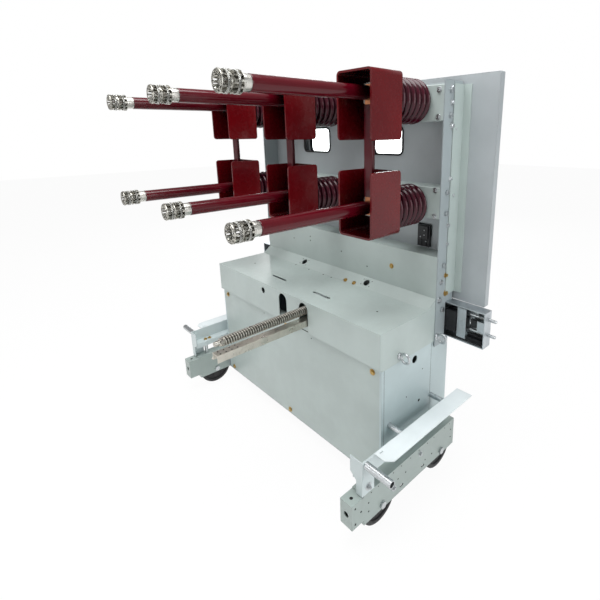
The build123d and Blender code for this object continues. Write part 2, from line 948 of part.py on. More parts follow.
rail_front_y = mount_y - rail_front_reach
rail_rear_y = mount_y + rail_rear_depth
nose_front_y = rail_front_y - nose_length

with BuildPart() as base_rail:
    with BuildSketch(Plane.YZ.offset(rail_inner_x)):
        with BuildLine():
            Polyline(
                (rail_front_y, rail_top),
                (rail_rear_y, rail_top),
                (rail_rear_y, rail_bottom),
                (rail_front_y, rail_bottom),
                close=True,
            )
        make_face()
    extrude(amount=rail_width)
    with BuildSketch(Plane.YZ.offset(rail_inner_x + rail_wall)):
        with BuildLine():
            Polyline(
                (rail_front_y + rail_wall, rail_top - rail_wall),
                (rail_rear_y - rail_wall, rail_top - rail_wall),
                (rail_rear_y - rail_wall, rail_bottom),
                (rail_front_y + rail_wall, rail_bottom),
                close=True,
            )
        make_face()
    extrude(amount=rail_width - 2 * rail_wall, mode=Mode.SUBTRACT)
    with BuildSketch(Plane.YZ.offset(rail_inner_x)):
        with Locations(*[(axle_y, wheel_radius) for axle_y in wheel_places.values()]):
            Circle(axle_radius)
    extrude(amount=rail_width, mode=Mode.SUBTRACT)
    with BuildSketch(Plane.YZ.offset(rail_outer_x)):
        with Locations(
            (mount_y - front_slot_reach, rail_bottom + rail_slot_rise),
            (mount_y - rear_slot_reach, rail_bottom + rail_slot_rise),
        ):
            SlotOverall(rail_slot_length, rail_slot_width)
    extrude(amount=-rail_wall, mode=Mode.SUBTRACT)
save_pair(base_rail, "base_rail")

with BuildPart() as rail_nose:
    with BuildSketch(Plane.XZ.offset(-nose_front_y)):
        with Locations((rail_centre_x, (nose_bottom + nose_top) / 2)):
            Rectangle(rail_width, nose_top - nose_bottom)
    extrude(amount=-nose_length)
    with BuildSketch(Plane.XZ.offset(-nose_front_y - rail_wall)):
        with Locations((rail_centre_x, (nose_bottom + nose_top) / 2)):
            Rectangle(rail_width - 2 * rail_wall, nose_top - nose_bottom - 2 * rail_wall)
    extrude(amount=rail_wall - nose_length, mode=Mode.SUBTRACT)
    with BuildSketch(Plane.XZ.offset(-nose_front_y)):
        with Locations((rail_centre_x, (nose_bottom + nose_top) / 2)):
            Circle(nose_hole_radius)
    extrude(amount=-rail_wall, mode=Mode.SUBTRACT)
save_pair(rail_nose, "rail_nose")


def rail_wheel():
    """Cast wheel with a hub, a thin web and a crowned rim."""
    half_width = wheel_width / 2
    half_hub = wheel_hub_width / 2
    web = half_width - wheel_web_recess
    rim_radius = wheel_radius - wheel_rim
    bore = axle_radius + running_clearance
    return turned(
        [
            (bore, -half_hub),
            (wheel_hub_radius, -half_hub),
            (wheel_hub_radius, -web),
            (rim_radius, -web),
            (rim_radius, -half_width),
            (wheel_radius, -half_width),
            (wheel_radius, half_width),
            (rim_radius, half_width),
            (rim_radius, web),
            (wheel_hub_radius, web),
            (wheel_hub_radius, half_hub),
            (bore, half_hub),
        ]
    )


wheel = rail_wheel()
for end, axle_y in wheel_places.items():
    for side, wheel_x in (("left", -rail_centre_x), ("right", rail_centre_x)):
        seat = Plane(origin=(wheel_x, axle_y, wheel_radius), x_dir=(0, 1, 0), z_dir=(1, 0, 0))
        save(repeat(wheel, [seat]), f"{end}_{side}_wheel")

with BuildPart() as axle_bolt:
    with BuildSketch(Plane.XY.offset(-rail_width / 2 - axle_head_width)):
        RegularPolygon(axle_head_radius, 6, major_radius=False)
    extrude(amount=axle_head_width)
    with BuildSketch(Plane.XY.offset(-rail_width / 2)):
        Circle(axle_radius)
    extrude(amount=rail_width)
    with BuildSketch(Plane.XY.offset(rail_width / 2)):
        RegularPolygon(axle_head_radius, 6, major_radius=False)
    extrude(amount=axle_head_width)
axle_seats = []
for axle_y in wheel_places.values():
    for wheel_x in (-rail_centre_x, rail_centre_x):
        axle_seats.append(
            Plane(origin=(wheel_x, axle_y, wheel_radius), x_dir=(0, 1, 0), z_dir=(1, 0, 0))
        )
save(repeat(axle_bolt, axle_seats), "axle_bolts")

# ---- Side wings -----------------------------------------------------------

wing_front_y = mount_y - wing_front_reach
wing_rear_y = mount_y - wing_rear_reach

with BuildPart() as wing_channel:
    with BuildSketch(Plane.XZ.offset(-wing_front_y)):
        with BuildLine():
            Polyline(
                (wing_outer_x, wing_bottom),
                (wing_outer_x, wing_top),
                (wing_outer_x - sheet, wing_top),
                (wing_outer_x - sheet, wing_bottom + sheet),
                (wing_outer_x - wing_flange, wing_bottom + sheet),
                (wing_outer_x - wing_flange, wing_bottom - wing_lip),
                (wing_outer_x - wing_flange + sheet, wing_bottom - wing_lip),
                (wing_outer_x - wing_flange + sheet, wing_bottom),
                close=True,
            )
        make_face()
    extrude(amount=-(wing_rear_y - wing_front_y))
save_pair(wing_channel, "wing_channel")

ramp_front_y = mount_y - ramp_front_reach
ramp_rear_y = mount_y + ramp_rear_depth
with BuildPart() as ramp_plate:
    with BuildSketch(Plane.XY.offset(wing_top)):
        with BuildLine():
            Polyline(
                (wing_outer_x - sheet, ramp_front_y),
                (ramp_outer_x - ramp_chamfer, ramp_front_y),
                (ramp_outer_x, ramp_front_y + ramp_chamfer),
                (ramp_outer_x, ramp_rear_y),
                (wing_outer_x - sheet, ramp_rear_y),
                close=True,
            )
        make_face()
        with Locations((wing_outer_x + ramp_slot_inset, ramp_front_y + ramp_chamfer)):
            SlotOverall(ramp_slot_length, ramp_slot_width, rotation=90, mode=Mode.SUBTRACT)
    extrude(amount=sheet)
save_pair(ramp_plate, "ramp_plate")

foot_inner_x = rail_outer_x - rail_width / 2
with BuildPart() as wing_bracket:
    with BuildSketch(Plane.XZ.offset(-wing_front_y)):
        with BuildLine():
            Polyline(
                (rail_inner_x, wing_top),
                (wing_outer_x, wing_top),
                (rail_outer_x, wing_bottom - wing_lip),
                (rail_outer_x, rail_top),
                (foot_inner_x, rail_top),
                (foot_inner_x, wing_bottom - wing_lip),
                (rail_inner_x, wing_bottom),
                close=True,
            )
        make_face()
    extrude(amount=sheet)
    side_height = wing_bottom - rail_top
    with Locations(
        (rail_outer_x - sheet / 2, wing_front_y + rail_width / 2 - sheet / 2, rail_top + side_height / 2)
    ):
        Box(sheet, rail_width + sheet, side_height)
save(on_both_sides(wing_bracket), "wing_brackets")

with BuildPart() as wing_posts:
    for post_side in (-1, 1):
        for post_reach in post_reaches:
            post_seat = Plane(
                origin=(post_side * body_half_width, mount_y - post_reach, post_height),
                x_dir=(0, 1, 0),
                z_dir=(post_side, 0, 0),
            )
            with BuildSketch(post_seat):
                Circle(post_radius)
            extrude(amount=wing_outer_x - sheet - body_half_width)
    with BuildSketch(Plane.XY.offset(rail_top)):
        for spacer_reach in spacer_reaches:
            with Locations(
                (-rail_centre_x, mount_y - spacer_reach),
                (rail_centre_x, mount_y - spacer_reach),
            ):
                Circle(spacer_radius)
    extrude(amount=wing_bottom - rail_top)
save(wing_posts, "wing_posts")

with BuildPart() as guide_tubes:
    for tube_side in (-1, 1):
        tube_seat = Plane(
            origin=(tube_side * wing_outer_x, wing_front_y + tube_radius, wing_top - tube_radius),
            x_dir=(0, 1, 0),
            z_dir=(tube_side, 0, 0),
        )
        with BuildSketch(tube_seat):
            Circle(tube_radius)
            Circle(tube_radius - tube_wall, mode=Mode.SUBTRACT)
        extrude(amount=tube_length)
save(guide_tubes, "guide_tubes")

# ---- Racking screw --------------------------------------------------------

screw_tip_y = mount_y - screw_tip_reach
screw_end_y = beam_rear_y - 2 * sheet
screw_length = screw_end_y - screw_tip_y
screw_seat = Plane(origin=(screw_x, screw_tip_y, screw_height), x_dir=(1, 0, 0), z_dir=(0, 1, 0))
thread_end = screw_stub_length + screw_thread_length

with BuildPart() as screw_blank:
    with BuildSketch(Plane.XZ):
        with BuildLine():
            Polyline(
                (0, 0),
                (screw_stub_radius - 1, 0),
                (screw_stub_radius, 1),
                (screw_stub_radius, screw_stub_length),
                (screw_radius - 2, screw_stub_length),
                (screw_radius, screw_stub_length + 2),
                (screw_radius, thread_end),
                (screw_shaft_radius, thread_end),
                (screw_shaft_radius, screw_length),
                (0, screw_length),
                close=True,
            )
        make_face()
    revolve(axis=Axis.Z)
    with BuildSketch(Plane.XY.offset(screw_length)):
        RegularPolygon(crank_socket_radius, 6)
    extrude(amount=-crank_socket_depth, mode=Mode.SUBTRACT)
save(repeat(screw_blank, [screw_seat]), "racking_screw")

front_bearing_y = screw_tip_y + thread_end + bearing_thickness / 2
rear_bearing_y = beam_front_y - bearing_thickness / 2
bearing_bottom = guide_top - guide_height
bearing_height = body_top - bearing_bottom
with BuildPart() as screw_bearings:
    with Locations(
        (screw_x, front_bearing_y, bearing_bottom + bearing_height / 2),
        (screw_x, rear_bearing_y, bearing_bottom + bearing_height / 2),
    ):
        Box(bearing_width, bearing_thickness, bearing_height)
    fillet(screw_bearings.edges().filter_by(Axis.Y), 2 * sheet)
    with BuildSketch(Plane.XZ.offset(-screw_tip_y)):
        with Locations((screw_x, screw_height)):
            Circle(screw_shaft_radius + running_clearance)
    extrude(amount=-screw_length, mode=Mode.SUBTRACT)
save(screw_bearings, "screw_bearings")

guide_tip_y = mount_y - guide_tip_reach
guide_tail_y = front_bearing_y - bearing_thickness / 2
guide_x = screw_x + guide_offset
with BuildPart() as screw_guide:
    with BuildSketch(Plane.XZ.offset(-guide_tip_y)):
        with Locations((guide_x, guide_top - guide_height / 2)):
            Rectangle(guide_width, guide_height)
        with Locations((guide_x, guide_top - guide_wall - guide_height / 2)):
            Rectangle(guide_width - 2 * guide_wall, guide_height, mode=Mode.SUBTRACT)
    extrude(amount=-(guide_tail_y - guide_tip_y))
    hook_x = guide_x - guide_width / 2 - 4 * guide_wall
    with BuildSketch(Plane.XZ.offset(-guide_tip_y)):
        with BuildLine():
            Polyline(
                (guide_x - guide_width / 2, guide_top - guide_height),
                (guide_x - guide_width / 2, guide_top - guide_height / 2),
                (hook_x, guide_top - guide_height),
                (hook_x, guide_top - guide_height - guide_wall),
                close=True,
            )
        make_face()
    extrude(amount=-guide_width / 2)
save(screw_guide, "screw_guide")

# ---- Lifting eyes and fasteners -------------------------------------------


def lifting_eye():
    """Forged ring bolt: a ring standing on a collar."""
    ring_height = eye_collar_height + eye_radius + eye_wire_radius / 2
    with BuildPart() as eye:
        with BuildSketch(Plane.XY):
            Circle(eye_collar_radius)
        extrude(amount=eye_collar_height)
        with BuildSketch(Plane.XY.offset(ring_height)):
            with Locations((eye_radius, 0)):
                RegularPolygon(eye_wire_radius, 6)
        revolve(axis=Axis((0, 0, ring_height), (0, 1, 0)))
    return eye


eye_seats = []
for eye_side in (-1, 1):
    for eye_reach, eye_height in zip(eye_reaches, eye_heights):
        if eye_reach > 0:
            eye_x = cover_half_width
        else:
            eye_x = upright_outer_x
        eye_seats.append(
            Plane(
                origin=(eye_side * eye_x, mount_y - eye_reach, eye_height),
                x_dir=(0, 0, 1),
                z_dir=(eye_side, 0, 0),
            )
        )
save(repeat(lifting_eye(), eye_seats), "lifting_eyes")

with BuildPart() as frame_bolts:
    for bolt_side in (-1, 1):
        with BuildSketch(Plane.YZ.offset(bolt_side * upright_outer_x)):
            beam_heights = (
                lower_beam_bottom + bolt_across_flats,
                lower_beam_top - bolt_across_flats,
                upper_beam_bottom + bolt_across_flats,
                upper_beam_top - bolt_across_flats,
            )
            for bolt_height in beam_heights:
                with Locations((mount_y + upright_depth / 3, bolt_height)):
                    RegularPolygon(bolt_across_flats / 2, 6, major_radius=False)
            for bolt_height in (apron_top - 2 * bolt_across_flats, cover_top - bolt_across_flats):
                with Locations((mount_y + upright_depth / 3, bolt_height)):
                    RegularPolygon(bolt_across_flats / 2, 6, major_radius=False)
        extrude(amount=bolt_side * bolt_head_height)
save(frame_bolts, "frame_bolts")

screw_columns = (-contact_panel_half + panel_screw_margin, 0.0, contact_panel_half - panel_screw_margin)
with BuildPart() as panel_screws:
    with BuildSketch(Plane.XZ.offset(-body_front_y)):
        for column in screw_columns:
            with Locations(
                (column, body_bottom + panel_screw_margin / 2),
                (column, cover_side_bottom - panel_screw_margin / 2),
            ):
                RegularPolygon(panel_screw_across_flats / 2, 6, major_radius=False)
    extrude(amount=panel_screw_height)
save(panel_screws, "panel_screws")
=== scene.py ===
import math

import bpy
from mathutils import Matrix, Vector


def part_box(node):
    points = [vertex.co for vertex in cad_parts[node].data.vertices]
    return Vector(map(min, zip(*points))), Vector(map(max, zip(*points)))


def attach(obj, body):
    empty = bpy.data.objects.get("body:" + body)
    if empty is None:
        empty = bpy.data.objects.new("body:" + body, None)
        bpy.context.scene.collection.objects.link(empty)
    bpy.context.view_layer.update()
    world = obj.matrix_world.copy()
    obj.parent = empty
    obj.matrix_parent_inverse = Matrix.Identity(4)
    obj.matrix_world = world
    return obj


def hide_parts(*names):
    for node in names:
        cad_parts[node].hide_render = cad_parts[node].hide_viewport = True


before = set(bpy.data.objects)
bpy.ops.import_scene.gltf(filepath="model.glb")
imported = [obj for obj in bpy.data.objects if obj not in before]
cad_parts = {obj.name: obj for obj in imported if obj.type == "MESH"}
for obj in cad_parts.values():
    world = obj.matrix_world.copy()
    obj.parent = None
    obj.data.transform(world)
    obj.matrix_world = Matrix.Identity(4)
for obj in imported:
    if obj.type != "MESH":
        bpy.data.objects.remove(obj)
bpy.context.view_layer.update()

MM = 0.001
TAU = 2 * math.pi
TRUCK = "truck"
UP = (0, 0, 1)
FRONT = (0, -1, 0)
REAR = (0, 1, 0)
ACROSS = (1, 0, 0)
SIDES = (-1, 1)


# ---- Places in millimetres, from the CAD frame where it gives them -----------


def lowest(node):
    """Lowest corner of a CAD node."""
    return Vector([round(value / MM, 1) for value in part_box(node)[0]])


def highest(node):
    """Highest corner of a CAD node."""
    return Vector([round(value / MM, 1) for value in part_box(node)[1]])


def middle(node):
    """Centre of a CAD node's box."""
    return (lowest(node) + highest(node)) / 2


phases = {phase: middle(f"{phase}_tulip_fingers").x for phase in ("left", "centre", "right")}
tulip_radius = highest("centre_tulip_fingers").x
arm_heights = (
    lowest("centre_tulip_fingers").z + tulip_radius,
    highest("centre_tulip_fingers").z - tulip_radius,
)
tip_y = lowest("centre_tulip_fingers").y
sleeve_end = highest("arm_sleeves").y - tip_y
mount_y = highest("centre_insulators").y
insulator_length = mount_y - lowest("centre_insulators").y

cover_x = highest("top_cover").x
cover_top_z = 617.0
slope_run = 41.0
slope_rise = highest("top_cover").z - cover_top_z
slope_start_y = highest("top_cover").y - slope_run
cabinet_front_y = lowest("contact_side_panel").y
cabinet_rear_y = highest("operator_side_panel").y
side_panel_x = highest("right_side_panel").x
panel_rear_y = highest("operator_panel").y
upright_x = highest("right_upright").x

rail_x = middle("right_base_rail").x
rail_outer_x = highest("right_base_rail").x
nose_front_y = lowest("right_rail_nose").y
wing_outer_x = highest("right_wing_channel").x
wing_front_y = lowest("right_wing_channel").y
wing_floor_z = 236.0
wing_bolt_x = 556.0

screw_tip_y = lowest("racking_screw").y
screw_length = highest("racking_screw").y - screw_tip_y
lock_rod_y = 359.5
lock_rod_heights = (533.0, 590.0)


# ---- Geometry ---------------------------------------------------------------


def seat(place, axis=UP, side=None):
    """Matrix whose origin is a place in millimetres and whose Z runs along an axis."""
    z = Vector(axis).normalized()
    if side is None:
        side = ACROSS if abs(z.x) < 0.9 else REAR
    y = z.cross(Vector(side)).normalized()
    x = y.cross(z)
    made = Matrix((x, y, z)).transposed().to_4x4()
    made.translation = Vector(place)
    return made


class Shape:
    """Points in millimetres and faces that end as one Blender piece."""

    def __init__(self):
        self.points = []
        self.faces = []
        self.paints = []

    def ring(self, where, points):
        """Adds points given in a seat, and returns their numbers."""
        start = len(self.points)
        self.points.extend(where @ Vector(point) for point in points)
        return list(range(start, len(self.points)))

    def face(self, corners, paint=0):
        """Adds a face, without the corners that repeat."""
        kept = []
        for corner in corners:
            if corner not in kept:
                kept.append(corner)
        if len(kept) > 2:
            self.faces.append(kept)
            self.paints.append(paint)

    def skin(self, rings):
        """Quads between rings of points that run round an axis."""
        for low, high in zip(rings, rings[1:]):
            count = max(len(low), len(high))
            for i in range(count):
                j = (i + 1) % count
                self.face((low[i % len(low)], low[j % len(low)], high[j % len(high)], high[i % len(high)]))

    def lathe(self, where, profile, steps, start=0.0):
        """A turned body from (radius, height) points along the seat's Z."""
        turn = [start + TAU * i / steps for i in range(steps)]
        rings = []
        for radius, height in profile:
            if radius:
                circle = [(radius * math.cos(a), radius * math.sin(a), height) for a in turn]
            else:
                circle = [(0, 0, height)]
            rings.append(self.ring(where, circle))
        self.skin(rings)

    def tube(self, path, radius, sides, closed=False):
        """A round wire of one radius along a path of points."""
        points = [Vector(point) for point in path]
        count = len(points)
        turn = [(math.cos(TAU * k / sides), math.sin(TAU * k / sides)) for k in range(sides)]
        rings = []
        normal = None
        for i, point in enumerate(points):
            if closed:
                along = points[(i + 1) % count] - points[i - 1]
            else:
                along = points[min(i + 1, count - 1)] - points[max(i - 1, 0)]
            along.normalize()
            if normal is None:
                normal = along.orthogonal()
            normal = (normal - along * normal.dot(along)).normalized()
            other = along.cross(normal)
            circle = [point + radius * (across * normal + over * other) for across, over in turn]
            rings.append(self.ring(Matrix.Identity(4), circle))
        if closed:
            last = self.points[rings[-1][0]]
            shift = min(range(sides), key=lambda k: (self.points[rings[0][k]] - last).length)
            rings.append(rings[0][shift:] + rings[0][:shift])
        self.skin(rings)
        if not closed:
            self.face(rings[0][::-1])
            self.face(rings[-1])

    def spring(self, path, coil, wire, turns, sides, steps, closed=False):
        """A helical spring whose own axis follows a path given as a function of 0 to 1."""
        count = int(turns * steps)
        points = []
        for i in range(count if closed else count + 1):
            place, first, second = path(i / count)
            angle = TAU * turns * (i / count)
            points.append(place + coil * (math.cos(angle) * first + math.sin(angle) * second))
        self.tube(points, wire, sides, closed)

    def block(self, low, high):
        """An upright box between two corners."""
        (x0, y0, z0), (x1, y1, z1) = low, high
        flat = Matrix.Identity(4)
        bottom = self.ring(flat, [(x0, y0, z0), (x1, y0, z0), (x1, y1, z0), (x0, y1, z0)])
        top = self.ring(flat, [(x0, y0, z1), (x1, y0, z1), (x1, y1, z1), (x0, y1, z1)])
        self.skin([bottom, top])
        self.face(bottom[::-1])
        self.face(top)

    def side_block(self, side, low, high):
        """A block given for the right side, or its mirror image on the left."""
        x0, x1 = sorted((side * low[0], side * high[0]))
        self.block((x0, *low[1:]), (x1, *high[1:]))

    def bolt(self, place, axis, across, height, tail=0.0):
        """A chamfered hexagon head on a washer, with the end of its thread when it has a tail."""
        where = seat(place, axis)
        washer = across * 0.92
        base = 1.6
        rim = [(0, 0), (washer - 0.4, 0), (washer, 0.4), (washer, 1.2), (washer - 0.4, base), (0, base)]
        self.lathe(where, rim, 28)
        corner = across / math.sqrt(3)
        top = base + height
        head = [(0, base), (corner, base), (corner, top - 1.1), (corner * 0.88, top), (corner * 0.62, top)]
        head += [(corner * 0.55, top - 0.5), (0, top - 0.5)]
        turned = (place[0] * 7.0 + place[2] * 3.0 + place[1]) % 1.0
        self.lathe(where, head, 6, turned)
        if tail:
            core = across * 0.27
            pitch = 1.2
            profile = [(0, top - 1)]
            for i in range(int(tail / pitch)):
                profile += [(core, top + i * pitch), (core * 0.86, top + (i + 0.5) * pitch)]
            profile += [(core * 0.8, top + tail), (0, top + tail)]
            self.lathe(where, profile, 20)

    def stud(self, place, axis, profile, steps):
        """A small turned body that stands on a face."""
        self.lathe(seat(place, axis), profile, steps)

    def hole(self, place, axis, radius):
        """A punched hole, drawn as a disc painted dark for the shade inside it, with a thin turned edge."""
        lift = 0.08
        edge = [(radius + 0.5, lift), (radius, lift + 0.35), (radius - 0.5, lift + 0.1), (0, lift)]
        self.lathe(seat(place, axis), edge, max(14, int(radius * 3)))

    def make(self, name, body, paint, second=None, bevel=0.0, replaces=(), sharp=38.0):
        """Turns the gathered faces into a piece that rides on a CAD body."""
        mesh = bpy.data.meshes.new(name)
        mesh.from_pydata([point * MM for point in self.points], [], self.faces)
        mesh.polygons.foreach_set("material_index", self.paints)
        mesh.update()
        mesh.shade_smooth()
        mesh.set_sharp_from_angle(angle=math.radians(sharp))
        made = bpy.data.objects.new(name, mesh)
        bpy.context.scene.collection.objects.link(made)
        made.data.materials.append(paint)
        if second:
            made.data.materials.append(second)
        if bevel:
            soften(made, bevel, 3, 40)
        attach(made, body)
        if replaces:
            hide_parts(*replaces)


def soften(piece, width, segments, angle):
    """Rounds the edges of a piece that turn by more than an angle in degrees."""
    edge = piece.modifiers.new("edges", "BEVEL")
    edge.width = width * MM
    edge.segments = segments
    edge.limit_method = "ANGLE"
    edge.angle_limit = math.radians(angle)
    edge.harden_normals = True


# ---- Materials --------------------------------------------------------------


def linear(red, green, blue):
    """Scene colour of an sRGB colour given as 0 to 255."""
    values = []
    for value in (red, green, blue):
        value /= 255.0
        values.append(value / 12.92 if value <= 0.04045 else ((value + 0.055) / 1.055) ** 2.4)
    return (*values, 1.0)


def scaled(colour, factor):
    """A colour made lighter or darker."""
    return tuple(min(1.0, value * factor) for value in colour[:3]) + (1.0,)


class Graph:
    """Shader nodes of a material or of the world."""

    def __init__(self, tree):
        self.tree = tree

    def node(self, kind, **inputs):
        """A new node, with values or links for its inputs."""
        made = self.tree.nodes.new(kind)
        for name, value in inputs.items():
            self.feed(made.inputs[name.replace("_", " ")], value)
        return made

    def feed(self, socket, value):
        """Links an output to a socket, or sets the socket to a value."""
        if isinstance(value, bpy.types.NodeSocket):
            self.tree.links.new(value, socket)
        else:
            socket.default_value = value

    def arithmetic(self, operation, first, second):
        """One operation between two values."""
        made = self.tree.nodes.new("ShaderNodeMath")
        made.operation = operation
        self.feed(made.inputs[0], first)
        self.feed(made.inputs[1], second)
        return made.outputs[0]


class Finish(Graph):
    """A node material, grown from its Principled shader."""

    def __init__(self, name):
        self.material = bpy.data.materials.new(name)
        self.material.use_nodes = True
        super().__init__(self.material.node_tree)
        self.shader = self.tree.nodes["Principled BSDF"]
        self.output = self.tree.nodes["Material Output"]
        self.place = self.node("ShaderNodeTexCoord").outputs["Object"]

    def put(self, **inputs):
        """Values or links for the shader's own inputs."""
        for name, value in inputs.items():
            self.feed(self.shader.inputs[name.replace("_", " ")], value)

    def stretched(self, scale):
        """The place on the piece, with each axis at its own scale."""
        return self.node("ShaderNodeMapping", Vector=self.place, Scale=scale).outputs["Vector"]

    def noise(self, scale, detail=3.0, rough=0.5, place=None):
        """Cloudy pattern from 0 to 1."""
        where = place or self.place
        made = self.node("ShaderNodeTexNoise", Vector=where, Scale=scale, Detail=detail, Roughness=rough)
        return made.outputs["Fac"]

    def remap(self, value, low, high, to_low=0.0, to_high=1.0):
        """A value's range eased into another range."""
        made = self.node("ShaderNodeMapRange", Value=value)
        made.interpolation_type = "SMOOTHSTEP"
        for name, number in (("From Min", low), ("From Max", high), ("To Min", to_low), ("To Max", to_high)):
            made.inputs[name].default_value = number
        return made.outputs["Result"]

    def mix(self, factor, first, second):
        """One colour over another."""
        made = self.tree.nodes.new("ShaderNodeMix")
        made.data_type = "RGBA"
        self.feed(made.inputs[0], factor)
        self.feed(made.inputs[6], first)
        self.feed(made.inputs[7], second)
        return made.outputs[2]

    def bump(self, height, strength, distance, under=None):
        """Relief from a pattern, on top of other relief when there is some."""
        made = self.node("ShaderNodeBump", Height=height, Strength=strength, Distance=distance)
        if under:
            self.feed(made.inputs["Normal"], under)
        return made.outputs["Normal"]

    def soft_edge(self, radius):
        """Rounded folds and edges, in millimetres."""
        made = self.node("ShaderNodeBevel", Radius=radius * MM)
        made.samples = 4
        return made.outputs["Normal"]


def powder_coat(name, colour, grime):
    """Satin powder coat with orange peel, faint clouding and rub marks."""
    finish = Finish(name)
    colour = linear(*colour)
    cloud = finish.remap(finish.noise(5.0, 4.0, 0.6), 0.35, 0.65)
    tone = finish.mix(cloud, scaled(colour, 0.955), scaled(colour, 1.04))
    speck = finish.remap(finish.noise(1400.0, 2.0), 0.56, 0.7)
    tone = finish.mix(finish.remap(speck, 0, 1, 0, 0.10), tone, scaled(colour, 0.86))
    rubs = finish.noise(22.0, 6.0, 0.75, finish.stretched((1.0, 1.0, 5.0)))
    tone = finish.mix(finish.remap(rubs, 0.6, 0.74, 0, grime), tone, scaled(colour, 0.62))
    peel = finish.bump(finish.noise(520.0, 2.0), 0.12, 0.0003, finish.soft_edge(1.4))
    finish.put(Base_Color=tone, Normal=finish.bump(finish.noise(4.0, 2.0), 0.06, 0.006, peel))
    finish.put(Roughness=finish.remap(finish.noise(60.0, 3.0), 0.3, 0.7, 0.3, 0.42))
    finish.put(Coat_Weight=0.15, Coat_Roughness=0.25)
    return finish.material


def resin(name, colour, dark, rough, wave):
    """Glossy cast or shrunk insulation with slow colour drift, a soft skin and painted shade that darkens its
    recesses.
    """
    finish = Finish(name)
    dark = linear(*dark)
    drift = finish.remap(finish.noise(3.0, 2.0, 0.45), 0.25, 0.75)
    tone = finish.mix(drift, linear(*colour), dark)
    fleck = finish.remap(finish.noise(1200.0, 2.0), 0.62, 0.78, 0, 0.12)
    tone = finish.mix(fleck, tone, scaled(dark, 0.7))
    # Painted shade: ambient occlusion darkens the recesses, such as the insides of the hoods, toward a fifth
    # of the dark colour.
    painted_shade_openness = finish.node("ShaderNodeAmbientOcclusion", Distance=0.11).outputs["AO"]
    tone = finish.mix(finish.remap(painted_shade_openness, 0.25, 0.95, 0.95, 0), tone, scaled(dark, 0.2))
    skin = finish.bump(finish.noise(16.0, 2.0), wave, 0.002, finish.soft_edge(0.8))
    finish.put(Base_Color=tone, Normal=skin, Specular_IOR_Level=0.26)
    finish.put(Roughness=finish.remap(finish.noise(50.0, 3.0), 0.3, 0.7, rough, rough + 0.08))
    finish.put(Coat_Weight=0.3, Coat_Roughness=0.05)
    return finish.material


def plated(name, colour, stain, stained, rough, spangle, scale):
    """Plated metal with spangle, tarnish in patches and fine handling marks."""
    finish = Finish(name)
    colour = linear(*colour)
    cells = finish.node("ShaderNodeTexVoronoi", Vector=finish.place, Scale=scale).outputs["Color"]
    grain = finish.node("ShaderNodeRGBToBW", Color=cells).outputs["Val"]
    tone = finish.mix(grain, scaled(colour, 1.0 - spangle), scaled(colour, 1.0 + spangle))
    patch = finish.noise(scale * 0.7, 6.0, 0.7)
    patch = finish.remap(patch, 0.62 - 0.3 * stained, 0.86 - 0.2 * stained)
    tone = finish.mix(patch, tone, linear(*stain))
    marks = finish.noise(scale * 5.0, 2.0, 0.5, finish.stretched((1.0, 6.0, 1.0)))
    relief = finish.bump(marks, 0.08, 0.0002, finish.soft_edge(0.5))
    finish.put(Base_Color=tone, Metallic=1.0, Normal=relief)
    finish.put(Roughness=finish.remap(finish.noise(scale * 0.5, 4.0), 0.3, 0.7, rough, rough + 0.2))
    return finish.material


def moulded(name, colour, dust, rough, dusty):
    """Black nylon, plastic or rubber with a dusty bloom and a moulded grain."""
    finish = Finish(name)
    bloom = finish.remap(finish.noise(45.0, 6.0, 0.7), 0.45, 0.75, 0, dusty)
    tone = finish.mix(bloom, linear(*colour), linear(*dust))
    finish.put(Base_Color=tone, Normal=finish.bump(finish.noise(1100.0, 2.0), 0.25, 0.0003))
    finish.put(Roughness=finish.remap(finish.noise(120.0, 3.0), 0.3, 0.7, rough, rough + 0.2))
    return finish.material


def clear_pane(name):
    """Clear sheet, faintly smeared, that shows the light behind it."""
    finish = Finish(name)
    smear = finish.remap(finish.noise(18.0, 5.0, 0.6), 0.45, 0.75, 0.02, 0.12)
    tone = finish.mix(finish.noise(6.0, 2.0), linear(240, 247, 246), linear(248, 251, 251))
    finish.put(Base_Color=tone, Roughness=smear, Transmission_Weight=1.0, IOR=1.45)
    return finish.material


sheet_paint = powder_coat("sheet_paint_coat", (178, 190, 187), 0.06)
# Painted light: the side panels get a lighter, bluer copy of the sheet paint for the light that falls on the
# sides.
lit_side_paint = powder_coat("lit_side_paint_coat", (184, 199, 201), 0.05)
upright_paint = powder_coat("upright_paint_coat", (158, 168, 171), 0.06)
wing_paint = powder_coat("wing_paint_coat", (200, 211, 212), 0.06)
# Painted light: the ramp plates get a near-white copy of the sheet paint for the light on their top faces.
lit_ramp_paint = powder_coat("lit_ramp_paint_coat", (224, 232, 234), 0.05)
rail_paint = powder_coat("rail_paint_coat", (158, 170, 166), 0.08)
# Painted shade: a darker, more neutral copy of the sheet paint for the backplate, panel backing, operator
# panel and floor plate, standing for the shade between the uprights.
shaded_inner_paint = powder_coat("shaded_inner_paint_coat", (166, 173, 176), 0.08)
red_sleeve = resin("red_sleeve_resin", (88, 4, 19), (68, 3, 15), 0.16, 0.05)
red_hood = resin("red_hood_resin", (108, 4, 12), (80, 3, 11), 0.22, 0.05)
maroon_cast = resin("maroon_cast_resin", (66, 7, 26), (52, 5, 21), 0.16, 0.04)
silver = plated("silvered_copper_plate", (196, 194, 186), (58, 54, 50), 0.7, 0.2, 0.08, 160.0)
silver_bright = plated("silvered_base_plate", (216, 214, 208), (172, 168, 160), 0.3, 0.22, 0.03, 60.0)
spring_wire = plated("spring_steel_wire", (200, 200, 196), (120, 116, 112), 0.35, 0.2, 0.04, 300.0)
bare_copper = plated("copper_bar", (196, 134, 98), (120, 74, 52), 0.4, 0.3, 0.05, 80.0)
zinc = plated("bright_zinc", (198, 202, 204), (150, 153, 154), 0.35, 0.24, 0.05, 240.0)
galvanised = plated("galvanised_sheet", (196, 202, 206), (168, 174, 178), 0.4, 0.32, 0.06, 70.0)
